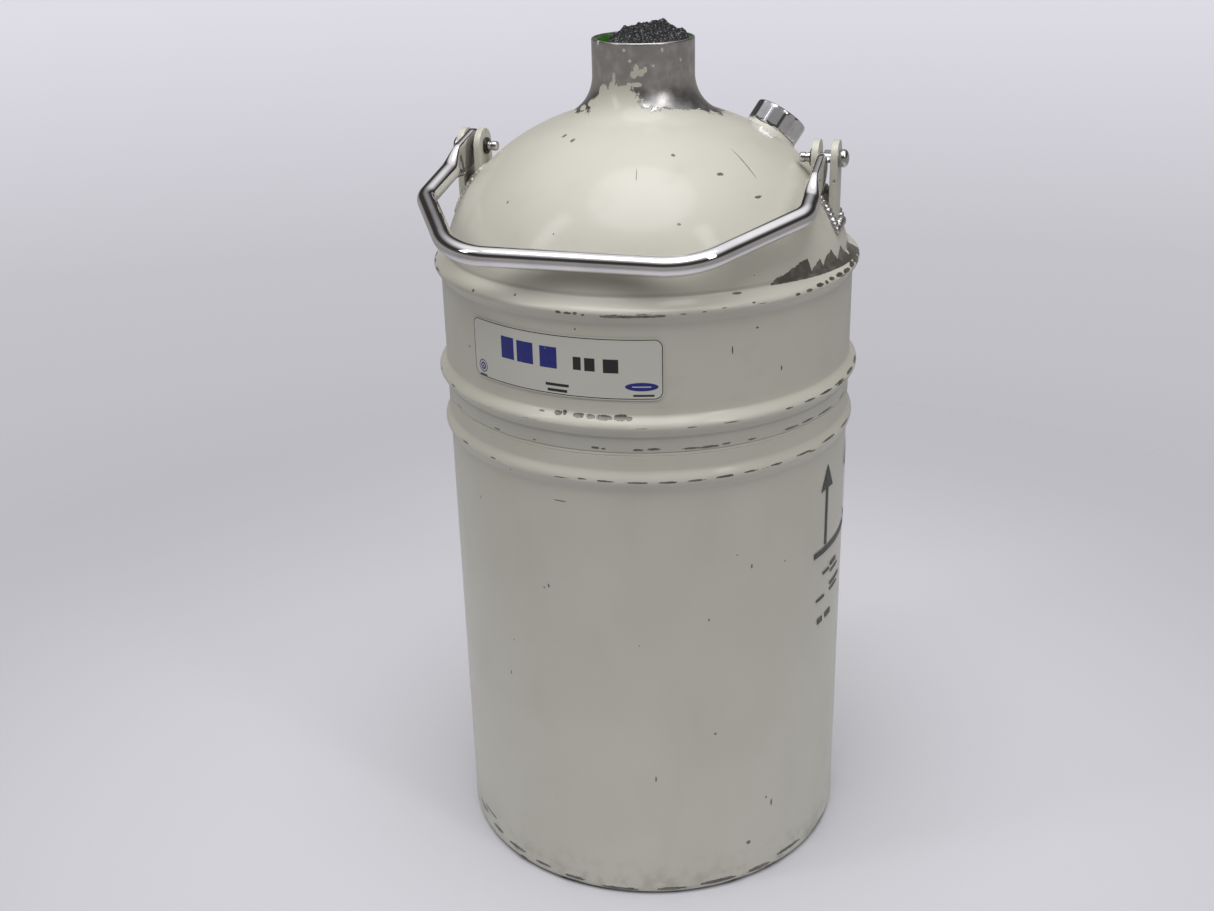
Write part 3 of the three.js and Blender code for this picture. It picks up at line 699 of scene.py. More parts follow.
def handworked(mesh, depth=0.14, size=48, keep=lambda v: 1.0):
    """The slight waviness of spun sheet."""
    lean = Vector((7.3, 2.1, 5.9))
    for v in mesh.verts:
        wave = noise.noise(v.co / (size * MM) + lean) + 0.4 * noise.noise(v.co / (size * 0.4 * MM) - lean)
        outward = Vector((v.co.x, v.co.y, 0))
        if outward.length > 1e-4:
            v.co += outward.normalized() * wave * depth * MM * keep(v)
    return mesh


def piece(name, mesh, finish, body, slot, *nodes, crease=38):
    """Makes a mesh into a piece that rides on a body and stands for the nodes it replaces."""
    data = bpy.data.meshes.new(name)
    mesh.to_mesh(data)
    mesh.free()
    data.polygons.foreach_set("use_smooth", [True] * len(data.polygons))
    data.set_sharp_from_angle(angle=math.radians(crease))
    data.materials.append(finish.material)
    made = bpy.data.objects.new(name, data)
    bpy.context.scene.collection.objects.link(made)
    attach(made, body)
    if nodes:
        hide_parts(*nodes)
    return made


def cut(mesh, *tools):
    """Takes tool meshes away from a mesh."""
    for tool in tools:
        blank = bpy.data.objects.new("blank", bpy.data.meshes.new("blank"))
        cutter = bpy.data.objects.new("cutter", bpy.data.meshes.new("cutter"))
        for holder, source in ((blank, mesh), (cutter, tool)):
            source.to_mesh(holder.data)
            source.free()
            bpy.context.scene.collection.objects.link(holder)
        work = blank.modifiers.new("cut", "BOOLEAN")
        work.object = cutter
        work.operation = "DIFFERENCE"
        work.solver = "EXACT"
        left = blank.evaluated_get(bpy.context.evaluated_depsgraph_get())
        mesh = bmesh.new()
        mesh.from_mesh(left.to_mesh())
        for holder in (blank, cutter):
            data = holder.data
            bpy.data.objects.remove(holder)
            bpy.data.meshes.remove(data)
        bmesh.ops.remove_doubles(mesh, verts=mesh.verts, dist=2e-7)
    return mesh


def rod(start, end, radius, sides=48):
    """A plain cylinder between two points."""
    along = (end - start).normalized()
    across = along.orthogonal().normalized()
    up = along.cross(across)
    return swept([(p, across, up, radius, radius, 2) for p in (start, end)], sides)


# ---------------------------------------------------------------- outer vessel


def dome_height(r):
    return DOME_Z + DOME_B * math.sqrt(max(1 - (r / DOME_A) ** 2, 0))


def dome_radius(z):
    return DOME_A * math.sqrt(1 - ((z - DOME_Z) / DOME_B) ** 2)


def flare_landing():
    """The angle of the neck's flare where it meets the dome, and the height of its centre."""
    turn = math.pi / 4
    for _ in range(20):
        land_r = NECK_R + FLARE_R * (1 - math.cos(turn))
        slope = (DOME_B / DOME_A) ** 2 * land_r / (dome_height(land_r) - DOME_Z)
        turn = math.atan2(1, slope)
    land_r = NECK_R + FLARE_R * (1 - math.cos(turn))
    return turn, dome_height(land_r) + FLARE_R * math.sin(turn)


def bead(peak, high, low, above_r, below_r, steps):
    z, r = peak
    points = []
    for i in range(steps + 1):
        here = high + (low - high) * i / steps
        base = above_r if here > z else below_r
        reach = high - z if here > z else z - low
        lift = 0.5 * (1 + math.cos(math.pi * (here - z) / reach))
        points.append((base + (r - base) * lift ** 0.85, here))
    return points


def plain_bead(peak, steps):
    return bead(peak, peak[0] + BEAD_HALF, peak[0] - BEAD_HALF, BODY_R, BODY_R, steps)


def straight(r, high, low, steps):
    return [(r, high + (low - high) * i / steps) for i in range(steps + 1)]


def upper_outline(flare_steps, dome_steps, bead_steps):
    """The upper shell from its rim down to the seam."""
    turn, flare_z = flare_landing()
    outline = straight(NECK_R, RIM_Z, flare_z + 2, max(flare_steps // 3, 1))
    for i in range(flare_steps + 1):
        angle = turn * i / flare_steps
        r = NECK_R + FLARE_R * (1 - math.cos(angle))
        outline.append((r, flare_z - FLARE_R * math.sin(angle)))
    start = math.asin(outline[-1][0] / DOME_A)
    end = math.asin(dome_radius(DOME_FOOT_Z) / DOME_A)
    for i in range(1, dome_steps):
        angle = start + (end - start) * i / dome_steps
        outline.append((DOME_A * math.sin(angle), DOME_Z + DOME_B * math.cos(angle)))
    foot_r = dome_radius(DOME_FOOT_Z)
    outline += bead(TOP_BEAD, DOME_FOOT_Z, TOP_BEAD[0] - BEAD_HALF, foot_r, BODY_R, bead_steps)
    high, low = TOP_BEAD[0] - BEAD_HALF, MIDDLE_BEAD[0] + BEAD_HALF
    outline += straight(BODY_R, high, low, max(bead_steps // 2, 2))[1:-1]
    outline += plain_bead(MIDDLE_BEAD, bead_steps)
    outline.append((BODY_R, SEAM_Z + 1))
    return outline


def dome_plug(clearance, sides=VESSEL_SIDES):
    """All of the upper shell's outside as one solid, grown by a clearance."""
    outline = grown(upper_outline(12, 30, 12), clearance)
    return spun([(0, RIM_Z + 5), (outline[0][0], RIM_Z + 5)] + outline[1:] + [(0, SEAM_Z)], sides)


def port_frame():
    turn = Vector((0, 0, 1)).rotation_difference(PORT_AXIS).to_matrix().to_4x4()
    return Matrix.Translation(PORT_BASE * MM) @ turn


def at_port(mesh):
    bmesh.ops.transform(mesh, matrix=port_frame(), verts=mesh.verts)
    return mesh


def upper_shell():
    rim = [(NECK_R - 0.9, RIM_Z), (NECK_R - 0.45, RIM_Z - 0.1), (NECK_R - 0.12, RIM_Z - 0.42)]
    outside = rim + [(NECK_R, RIM_Z - 1)] + upper_outline(26, 46, 26)[1:]
    outside += [(BODY_R - 0.3, SEAM_Z + 0.3), (BODY_R - 1.0, SEAM_Z)]
    inside = grown(upper_outline(10, 16, 10), -WALL)
    inside[0] = (NECK_R - WALL, RIM_Z - 0.7)
    inside[-1] = (BODY_R - WALL, SEAM_Z)
    inner_rim = [(NECK_R - WALL + 0.15, RIM_Z - 0.2), (NECK_R - WALL + 0.5, RIM_Z)]
    shell = spun(outside + inside[::-1] + inner_rim)
    handworked(shell, depth=0.1, size=55, keep=lambda v: min(max((0.5 - v.co.z) / 0.05, 0.25), 1))
    hole = at_port(spun([(0, -20), (12 + GAP, -20), (12 + GAP, 10), (0, 10)], 64))
    return cut(shell, hole)


def foot_corner(radius, steps):
    points = []
    for i in range(steps + 1):
        angle = math.pi / 2 * i / steps
        r = BODY_R - FOOT_CORNER_R + radius * math.cos(angle)
        points.append((r, FOOT_CORNER_R - radius * math.sin(angle)))
    return points


def lower_shell():
    lap_r = BODY_R - WALL - GAP
    step_z = SEAM_Z - GAP
    low_z = LOW_BEAD[0]
    outside = [(lap_r - 0.5, SEAM_Z + LAP), (lap_r, SEAM_Z + LAP - 0.6), (lap_r, step_z)]
    outside += [(BODY_R - 1.2, step_z - 0.3), (BODY_R - 0.25, step_z - 1.4), (BODY_R, step_z - 3)]
    outside += plain_bead(LOW_BEAD, 26)
    outside += straight(BODY_R, low_z - BEAD_HALF, FOOT_CORNER_R, 44)[1:-1]
    outside += foot_corner(FOOT_CORNER_R, 10) + [(FOOT_INNER_R, 0)]
    inside = [(lap_r - WALL, SEAM_Z + LAP), (lap_r - WALL, step_z), (BODY_R - WALL, step_z - 3)]
    inside += grown(plain_bead(LOW_BEAD, 10), -WALL)
    inside += foot_corner(FOOT_CORNER_R - WALL, 6) + [(FOOT_INNER_R, WALL)]
    return handworked(spun(outside + inside[::-1]), depth=0.14, size=66)


def seam_bead():
    """The seam's own weld: a low rippled cord tucked under the skirt."""
    rings = []
    steps = 900
    drift = random.Random(4)
    for i in range(steps):
        angle = math.tau * i / steps
        out = Vector((math.cos(angle), math.sin(angle), 0))
        size = 1.2 + 0.06 * math.sin(i * 0.9) + drift.uniform(-0.03, 0.03)
        centre = out * (BODY_R - 1.15) + Vector((0, 0, SEAM_Z - 1.15))
        rings.append((centre, out, Vector((0, 0, 1)), size, size * 1.1, 2))
    return swept(rings, 8, closed=True)


def bottom_head():
    seat, rise = WALL + GAP, 14
    under = [(0, seat + rise), (40, seat + rise - 0.4), (80, seat + rise - 1.2), (101, seat + rise - 2.2)]
    under += [(104.5, seat + rise - 5), (108, seat + 3.4), (110, seat + 1), (112.4, seat), (123, seat)]
    over = [(123.5, seat + 0.6), (123.5, seat + WALL), (112.5, seat + WALL), (110.8, seat + WALL + 1.6)]
    over += [(107, seat + 8.4), (104.5, seat + rise - 1.6), (101, seat + rise), (60, seat + rise + 1.2)]
    return spun(under + over + [(0, seat + rise + WALL)])


def ring_bead(radius, z, size, steps, seed):
    """A rippled weld bead round the vessel."""
    drift = random.Random(seed)
    rings = []
    for i in range(steps):
        angle = math.tau * i / steps
        out = Vector((math.cos(angle), math.sin(angle), 0))
        girth = size * (1 + 0.18 * math.sin(i * 1.05) + drift.uniform(-0.08, 0.08))
        rings.append((out * radius + Vector((0, 0, z)), out, Vector((0, 0, 1)), girth, girth, 2))
    return swept(rings, 8, closed=True)


paint_slot, metal_slot = "cream_paint", "bare_aluminium"
piece("outer_shell_top", upper_shell(), upper_paint, "vessel", paint_slot, "upper_shell")
piece("outer_shell_base", lower_shell(), lower_paint, "vessel", paint_slot, "lower_shell")
piece("girth_weld_bead", seam_bead(), lower_paint, "vessel", paint_slot, "girth_weld")
piece("foot_head", bottom_head(), bracket_paint, "vessel", paint_slot, "bottom_head")
piece("foot_weld_bead", ring_bead(110.6, 1.5, 1.05, 720, 8), weld_metal, "vessel", metal_slot, "bottom_weld")

# ---------------------------------------------------------------- neck

PLUG_R = 26.9
PLUG_LOW, PLUG_SHOULDER = 430, 520
RIDGE = [(-27, -7), (-21, -4.5), (-17, 0.5), (-11, 4.2), (-4, 5.8), (4, 7.0), (10, 8.0), (12.5, 9.4), (15, 7),
         (19, 4), (23, 2.6), (27, 2)]
VIEW_RIGHT = Vector((0.959, 0.282))
VIEW_AWAY = Vector((-0.282, 0.959))


def along_stops(stops, x):
    for (x0, y0), (x1, y1) in zip(stops, stops[1:]):
        if x <= x1:
            share = min(max((x - x0) / (x1 - x0), 0), 1)
            return y0 + (y1 - y0) * share
    return stops[-1][1]


def foam_height(x, y):
    """How far the broken top stands above the rim."""
    spot = Vector((x, y))
    across, away = spot.dot(VIEW_RIGHT), spot.dot(VIEW_AWAY)
    crown = math.exp(-(((away - 5) / 15) ** 2))
    low = -1.6 if across > -19 else -1.6 - (-19 - across) * 0.8
    height = low + (along_stops(RIDGE, across) - low) * crown
    crumbs = noise.noise(Vector((x, y, 3)) / 4.2) * 1.5 + noise.noise(Vector((x, y, 9)) / 1.7) * 1.15
    return height + crumbs + abs(noise.noise(Vector((x, y, 5)) / 0.85)) * 0.9


def foam_plug():
    rings = 48
    top = [(PLUG_R * i / rings, PLUG_SHOULDER + 8) for i in range(rings, 0, -1)]
    side = [(PLUG_R, PLUG_LOW + 1.5), (PLUG_R, PLUG_LOW + 45), (PLUG_R, PLUG_SHOULDER)]
    mesh = spun([(0, PLUG_LOW), (PLUG_R - 1.5, PLUG_LOW)] + side + top + [(0, PLUG_SHOULDER + 8)], 220)
    for v in mesh.verts:
        if v.co.z > (PLUG_SHOULDER + 4) * MM:
            x, y = v.co.x / MM, v.co.y / MM
            edge = min(max((PLUG_R - math.hypot(x, y)) / 1.6, 0), 1)
            ragged = foam_height(x, y)
            v.co.z = (RIM_Z + ragged - (1 - edge) * 1.2) * MM
    return mesh


def neck_tube():
    r_in, r_out, low, high = 27.8, 28.9, 396, 534.2
    outline = [(r_in, low), (r_out, low)] + straight(r_out, low + 1, high - 0.5, 14)
    outline += [(r_out - 0.25, high), (r_in + 0.25, high)] + straight(r_in, high - 0.4, low + 1, 14)
    return spun(outline, 144)


piece("neck_liner_tube", neck_tube(), glass_fibre(), "vessel", "glass_fibre_tube", "neck_tube")
piece("neck_foam_plug", foam_plug(), broken_foam(), "neck_plug", "black_foam", "neck_plug_foam", crease=180)

# ---------------------------------------------------------------- inner vessel and insulation

INNER_R, INNER_WALL, INNER_SEAM = 103, 1.5, 345
COLLAR_IN, COLLAR_TOP = 28.9 + GAP, 412


def quarter(r, z, height, steps, from_r):
    start = math.asin(from_r / r)
    angles = [start + (math.pi / 2 - start) * i / steps for i in range(steps + 1)]
    return [(r * math.sin(a), z + height * math.cos(a)) for a in angles]


def inner_top():
    r, wall = INNER_R, INNER_WALL
    outside = [(COLLAR_IN + wall, COLLAR_TOP), (COLLAR_IN + wall, 401)]
    outside += quarter(r, 353, 46, 20, 34) + [(r, INNER_SEAM)]
    inside = [(COLLAR_IN, COLLAR_TOP), (COLLAR_IN, 399)]
    inside += quarter(r - wall, 353, 46 - wall, 20, 34) + [(r - wall, INNER_SEAM)]
    return spun(outside + inside[::-1], SMALL_SIDES)


def inner_body():
    r, wall, top = INNER_R, INNER_WALL, INNER_SEAM - GAP
    outside = quarter(r, 85, -32, 20, 0) + [(r, 170), (r, 260), (r, top)]
    inside = quarter(r - wall, 85, wall - 32, 20, 0) + [(r - wall, 170), (r - wall, 260), (r - wall, top)]
    return spun(outside + inside[::-1], SMALL_SIDES)


def bond_ring():
    z = COLLAR_TOP + GAP
    return spun([(COLLAR_IN, z), (COLLAR_IN + 2.3, z), (COLLAR_IN + 1.9, z + 1.3), (COLLAR_IN + 1.1, z + 2.7),
                 (COLLAR_IN + 0.4, z + 3.7), (COLLAR_IN, z + 3.7)], SMALL_SIDES)


BLANKET_IN, BLANKET_OUT = 105.5, 119
foil_finish = foil()
pouch = pouch_cloth()


def side_blanket():
    outer = straight(BLANKET_OUT - 0.3, 349.4, 62.6, 40)
    inner = straight(BLANKET_IN + 0.3, 62.6, 349.4, 20)
    return handworked(spun(outer + inner, SMALL_SIDES), depth=0.25, size=22)


def top_blanket():
    z = 350 + GAP
    outer = [(BLANKET_OUT, z), (BLANKET_OUT, z + 14), (114, 378), (108, 387.5), (98, 398)]
    outer += [(86, 406.6), (73, 413), (60, 417.6), (48, 420), (36, 421)]
    inner = [(36, 405), (48, 402), (60, 396.5), (73, 391.5), (85, 385.5), (98, 373.5), (BLANKET_IN, 358)]
    return spun(outer + inner + [(BLANKET_IN, z)], SMALL_SIDES)


def bottom_blanket():
    top = 62 - GAP
    under = [(0, 34.2), (50, 34.2), (104, 34.2), (113, 37.6), (BLANKET_OUT, 42.5), (BLANKET_OUT, top)]
    over = [(BLANKET_IN, top), (96, 55.6), (86, 49.6), (78, 46), (40, 46), (0, 46)]
    return spun(under + over, SMALL_SIDES)


def adsorbent():
    z = 46 + GAP
    puff = [(0, z), (40, z), (64, z + 0.2), (68.5, z + 1.6), (70, z + 3), (68.5, z + 4.4)]
    puff += [(64, z + 5.6), (40, z + 6), (0, z + 6)]
    return handworked(spun(puff, SMALL_SIDES), depth=0.5, size=14)


def getter():
    mesh = bmesh.new()
    bmesh.ops.create_cube(mesh, size=1)
    bmesh.ops.scale(mesh, vec=(30 * MM, 5.2 * MM, 40 * MM), verts=mesh.verts)
    bmesh.ops.subdivide_edges(mesh, edges=mesh.edges, cuts=14, use_grid_fill=True)
    for v in mesh.verts:
        share = max(abs(v.co.x) / 15, abs(v.co.z) / 20) / MM
        v.co.y *= 1 - 0.82 * max(share, 0) ** 4
    bmesh.ops.translate(mesh, vec=(0, 123 * MM, 140 * MM), verts=mesh.verts)
    return mesh


piece("inner_vessel_crown", inner_top(), vessel_metal, "vessel", metal_slot, "inner_vessel_top")
piece("inner_vessel_can", inner_body(), vessel_metal, "vessel", metal_slot, "inner_vessel_body")
inner_seam = ring_bead(INNER_R + 1.4, INNER_SEAM, 1.0, 640, 3)
piece("inner_seam_bead", inner_seam, weld_metal, "vessel", metal_slot, "inner_girth_weld")
piece("neck_bond", bond_ring(), resin(), "vessel", "bond_resin", "neck_bond_ring")
piece("side_foil_blanket", side_blanket(), foil_finish, "vessel", "insulation_foil", "insulation_side")
piece("top_foil_blanket", top_blanket(), foil_finish, "vessel", "insulation_foil", "insulation_top")
piece("bottom_foil_blanket", bottom_blanket(), foil_finish, "vessel", "insulation_foil", "insulation_bottom")
piece("adsorbent_pouch", adsorbent(), pouch, "vessel", "getter_pouch", "adsorbent_pack")
piece("getter_pouch", getter(), pouch, "vessel", "getter_pouch", "getter_pack", crease=180)

# ---------------------------------------------------------------- brackets and pins

EAR_THICK, EAR_HALF, EAR_DROP = 4, 11, 46
EAR_STARTS = {"inner": 105, "outer": 116.5}
EAR_HOLE_R = 3.45
PIN_R, PIN_HEAD_R, PIN_HEAD_OUT, PIN_FREE_END = 3, 5.3, 126.3, 96.5


def ear(x0):
    """A bracket plate: rounded top, foot shaped to the dome, hole for the pin."""
    mesh = bmesh.new()
    bmesh.ops.create_circle(mesh, cap_ends=True, segments=72, radius=EAR_HALF * MM)
    low = [v for v in mesh.verts if v.co.y < -1e-5]
    bmesh.ops.scale(mesh, vec=(1, 0, 1), verts=low)
    bmesh.ops.translate(mesh, vec=(0, -EAR_DROP * MM, 0), verts=low)
    made = bmesh.ops.extrude_face_region(mesh, geom=mesh.faces[:])["geom"]
    raised = [g for g in made if isinstance(g, bmesh.types.BMVert)]
    bmesh.ops.translate(mesh, vec=(0, 0, EAR_THICK * MM), verts=raised)
    bmesh.ops.recalc_face_normals(mesh, faces=mesh.faces)
    rounded(mesh, 0.6)
    stand = Matrix(((0, 0, 1, x0 * MM), (1, 0, 0, 0), (0, 1, 0, PIVOT_Z * MM), (0, 0, 0, 1)))
    bmesh.ops.transform(mesh, matrix=stand, verts=mesh.verts)
    low_end, high_end = (Vector((x, 0, PIVOT_Z)) for x in (x0 - 5, x0 + EAR_THICK + 5))
    return cut(mesh, dome_plug(0.1), rod(low_end, high_end, EAR_HOLE_R))


def ear_weld(x0, x1, size, seed):
    """A rippled bead that runs round a bracket's foot on the dome, from x0 to x1."""
    reach = size * 0.35
    corners = [(x0 - reach, -EAR_HALF - reach), (x1 + reach, -EAR_HALF - reach),
               (x1 + reach, EAR_HALF + reach), (x0 - reach, EAR_HALF + reach)]
    path = []
    for (xa, ya), (xb, yb) in zip(corners, corners[1:] + corners[:1]):
        steps = max(int(math.hypot(xb - xa, yb - ya) / 0.42), 2)
        path += [(xa + (xb - xa) * i / steps, ya + (yb - ya) * i / steps) for i in range(steps)]
    for _ in range(5):
        around = zip(path[-1:] + path[:-1], path, path[1:] + path[:1])
        path = [((a[0] + b[0] + c[0]) / 3, (a[1] + b[1] + c[1]) / 3) for a, b, c in around]
    centres = [Vector((x, y, dome_height(math.hypot(x, y)))) for x, y in path]
    drift = random.Random(seed)
    rings = []
    travelled = 0
    for i, centre in enumerate(centres):
        along = (centres[(i + 1) % len(centres)] - centres[i - 1]).normalized()
        travelled += (centre - centres[i - 1]).length if i else 0
        up = Vector((centre.x, centre.y, (centre.z - DOME_Z) * (DOME_A / DOME_B) ** 2)).normalized()
        across = along.cross(up).normalized()
        ripple = abs(math.sin(travelled * 1.05)) ** 0.6
        girth = size * (0.7 + 0.3 * ripple) + drift.uniform(-0.12, 0.12)
        rings.append((centre + up * size * 0.15, across, up, girth * 1.12, girth, 2))
    return swept(rings, 14, closed=True)


def on_pivot_line(mesh, side):
    """Lays a piece turned about Z along the handle's pivots, on one side."""
    quarter_turn = Matrix.Rotation(side * math.pi / 2, 3, "Y")
    bmesh.ops.rotate(mesh, cent=(0, 0, 0), matrix=quarter_turn, verts=mesh.verts)
    bmesh.ops.translate(mesh, vec=(0, 0, PIVOT_Z * MM), verts=mesh.verts)
    return mesh


def pin(side):
    """A clevis pin with a domed head outside and a rounded end inside."""
    head_in = EAR_STARTS["outer"] + EAR_THICK + GAP
    outline = [(0, PIN_FREE_END)]
    outline += [(PIN_R - 1 + math.sin(a), PIN_FREE_END + 1.6 * (1 - math.cos(a)))
                for a in (0.0, 0.4, 0.8, 1.2, math.pi / 2)]
    outline += [(PIN_R, 100), (PIN_R - 0.45, 100.4), (PIN_R - 0.45, 101.2), (PIN_R, 101.6), (PIN_R, head_in)]
    outline += [(PIN_HEAD_R - 0.3, head_in), (PIN_HEAD_R, head_in + 0.4), (PIN_HEAD_R, PIN_HEAD_OUT - 2.9)]
    outline += [(PIN_HEAD_R * math.cos(a), PIN_HEAD_OUT - 2.9 + 2.9 * math.sin(a))
                for a in (0.3, 0.6, 0.9, 1.2, 1.4)]
    mesh = spun(outline + [(0, PIN_HEAD_OUT)], 48)
    return on_pivot_line(mesh, side)


def retaining_ring(side):
    """A split spring ring in its groove beside the inner ear."""
    face = EAR_STARTS["inner"] - GAP
    outline = [(3.35, face - 1.3), (4.9, face - 1.5), (5.2, face - 1.2), (5.2, face - 0.3)]
    outline += [(4.9, face), (3.35, face)]
    mesh = spun(outline, 48)
    return on_pivot_line(mesh, side)


worn_weld = painted_weld()
WELD_SIZES = {"inner": 1.9, "outer": 2.8}
WELD_BETWEEN = {"inner": 0, "outer": 5.5}  # how far the outer weld reaches in between the ears

for label, side in (("left", -1), ("right", 1)):
    for place, start in EAR_STARTS.items():
        x0 = start if side > 0 else -start - EAR_THICK
        node = f"{label}_{place}_ear"
        bare = (label, place) == ("right", "outer")
        piece(f"{node}_plate", ear(x0), bracket_paint, "vessel", paint_slot, node)
        near, far = side * (start - WELD_BETWEEN[place]), side * (start + EAR_THICK)
        bead_mesh = ear_weld(min(near, far), max(near, far), WELD_SIZES[place], start + side)
        bead_finish = weld_metal if bare else worn_weld
        piece(f"{node}_weld_bead", bead_mesh, bead_finish, "vessel", metal_slot, f"{node}_weld")
    piece(f"{label}_clevis_pin", pin(side), pin_steel, "vessel", "pin_steel", f"{label}_pin")
    ring_node = f"{label}_pin_retaining_ring"
    piece(f"{label}_spring_ring", retaining_ring(side), ring_steel, "vessel", "pin_steel", ring_node)

# ---------------------------------------------------------------- carry handle

HANDLE_R = 6
HANDLE_TILT = math.radians(15.7)
HANDLE_CORNERS = [(-113.6, 0), (-119.2, 70), (-81, 132), (59.5, 132), (111.6, 70), (112.2, 0)]
HANDLE_BENDS = [14, 41, 41, 14]
EYE_R, EYE_HALF_THICK = 10.5, 2.6
FLAT_END, ROUND_FROM = 20, 37


def bend_points(before, corner, after, radius, spacing):
    """Points round a bend, from one tangent point to the other."""
    back, ahead = (before - corner).normalized(), (after - corner).normalized()
    half = back.angle(ahead) / 2
    middle = corner + (back + ahead).normalized() * radius / math.sin(half)
    start = corner + back * radius / math.tan(half) - middle
    end = corner + ahead * radius / math.tan(half) - middle
    steps = max(int(start.angle(end) * radius / spacing), 4)
    sweep = start.angle_signed(end)
    return [middle + Matrix.Rotation(-sweep * i / steps, 2) @ start for i in range(steps + 1)]


def handle_line():
    """The centre line in the handle's plane, from one eye to the other."""
    corners = [Vector(c) for c in HANDLE_CORNERS]
    first = (corners[0] - corners[1]).normalized()
    last = (corners[-1] - corners[-2]).normalized()
    line = [corners[0] + first * (EYE_R - 0.12)]
    for i, radius in enumerate(HANDLE_BENDS):
        line += bend_points(corners[i], corners[i + 1], corners[i + 2], radius, 1.2)
    line.append(corners[-1] + last * (EYE_R - 0.12))
    filled = [line[0]]
    for point in line[1:]:
        gap = (point - filled[-1]).length
        near_end = min((point - line[0]).length, (filled[-1] - line[0]).length,
                       (point - line[-1]).length, (filled[-1] - line[-1]).length) < 60
        steps = max(int(gap / (0.55 if near_end else 4)), 1)
        start = filled[-1]
        filled += [start.lerp(point, (k + 1) / steps) for k in range(steps)]
    return filled


def handle_section(distance):
    """Half thickness, half width and squareness at a distance from the nearer eye's centre."""
    if distance < 0:
        half_width = math.sqrt(max(EYE_R ** 2 - distance ** 2, 0))
        return EYE_HALF_THICK * (0.82 if distance < -EYE_R + 0.8 else 1), half_width, 5
    if distance < FLAT_END:
        return EYE_HALF_THICK, EYE_R, 5
    share = min((distance - FLAT_END) / (ROUND_FROM - FLAT_END), 1)
    share = share * share * (3 - 2 * share)
    half_thick = EYE_HALF_THICK + (HANDLE_R - EYE_HALF_THICK) * share
    return half_thick, EYE_R + (HANDLE_R - EYE_R) * share ** 0.8, 5 + (2 - 5) * share ** 0.7


def handle():
    line = handle_line()
    eyes = Vector(HANDLE_CORNERS[0]), Vector(HANDLE_CORNERS[-1])
    elbows = Vector(HANDLE_CORNERS[1]), Vector(HANDLE_CORNERS[-2])
    heads = [(elbow - eye).normalized() for eye, elbow in zip(eyes, elbows)]
    away = Vector((0, -math.cos(HANDLE_TILT), -math.sin(HANDLE_TILT)))
    normal = Vector((0, -math.sin(HANDLE_TILT), math.cos(HANDLE_TILT)))
    right = Vector((1, 0, 0))
    pivot = Vector((0, 0, PIVOT_Z))
    rings = []
    for i, point in enumerate(line):
        tangent = line[min(i + 1, len(line) - 1)] - line[max(i - 1, 0)]
        tangent = (right * tangent.x + away * tangent.y).normalized()
        distance = min((point - eye).dot(head) for eye, head in zip(eyes, heads))
        half_thick, half_width, squareness = handle_section(distance)
        centre = pivot + right * point.x + away * point.y
        rings.append((centre, tangent.cross(normal), normal, half_thick, half_width, squareness))
    holes = []
    for eye in eyes:
        ends = (pivot + right * (eye.x + reach) + away * eye.y for reach in (-6, 6))
        holes.append(rod(*ends, EAR_HOLE_R))
    return cut(swept(rings, 40), *holes)


piece("carry_handle", handle(), chrome, "handle", "polished_handle", "handle_tube")

# ---------------------------------------------------------------- evacuation port

CAP_R, CAP_IN_R, CAP_TOP, CAP_FOOT = 17.5, 15.7, 15.5, 2.2
CAP_FLATS = 12
CAP_SIDES = CAP_FLATS * 18
CAP_FLAT_R = 17.08


def port_collar():
    outline = [(15.6, -7), (15.6, 1.6), (16, 2.1), (17, 1.9), (18, 1.1), (19, -0.1), (20, -1.3)]
    outline += [(20.5, -2.4), (20.5, -7)]
    mesh = spun(outline, 128)
    for v in mesh.verts:
        if v.co.z > -3 * MM:
            v.co.z += noise.noise(v.co / (5 * MM)) * 0.35 * MM
    return cut(at_port(mesh), dome_plug(0.1))


def port_boss():
    outline = [(8.3, -10), (11.6, -10), (12, -9.6), (12, 0.3), (15, 0.3), (15.3, 0.6), (15.3, 8.6)]
    outline += [(14.9, 9), (8.7, 9), (8.3, 8.6)]
    return at_port(spun(outline, SMALL_SIDES))


def relief_plug():
    outline = [(0, -6), (7.3, -6), (7.7, -5.6), (7.7, 0.8), (5.8, 0.8), (5.8, 3.6), (7.7, 3.6)]
    outline += [(7.7, 9.3), (11.2, 9.3), (11.5, 9.6), (11.5, 10.6), (11.1, 11)]
    outline += [(3, 11), (2.6, 10.6), (0, 10.6)]
    return at_port(spun(outline, SMALL_SIDES))


def o_ring():
    angles = [math.tau * i / 16 for i in range(16)]
    outline = [(7.12 + 0.95 * math.cos(a), 2.2 + 0.95 * math.sin(a)) for a in angles]
    return at_port(spun(outline, SMALL_SIDES))


def port_cap():
    """A turned cap with broad grip flats and a bright chamfer."""
    side = straight(CAP_R, CAP_FOOT + 0.5, CAP_TOP - 1.4, 8)
    outline = [(CAP_IN_R, CAP_FOOT), (CAP_R - 0.5, CAP_FOOT)] + side
    outline += [(CAP_R - 0.35, CAP_TOP - 0.6), (CAP_R - 1.1, CAP_TOP - 0.1), (CAP_R - 1.6, CAP_TOP)]
    outline += [(r, CAP_TOP - 0.35 * (1 - r / CAP_R)) for r in (14, 12, 10, 8, 6, 4, 2)]
    outline += [(0, CAP_TOP - 0.35), (0, CAP_TOP - 2)]
    outline += [(CAP_IN_R - 0.6, CAP_TOP - 2), (CAP_IN_R, CAP_TOP - 2.6)]
    mesh = spun_with_bore(outline)
    for v in mesh.verts:
        r = math.hypot(v.co.x, v.co.y)
        if r > (CAP_IN_R + 1) * MM:
            half = math.pi / CAP_FLATS
            within = (math.atan2(v.co.y, v.co.x) + half) % (2 * half) - half
            flat_r = max(CAP_FLAT_R / math.cos(within), 0) * MM
            inward = min(flat_r / r, 1)
            v.co.x *= inward
            v.co.y *= inward
    return at_port(mesh)


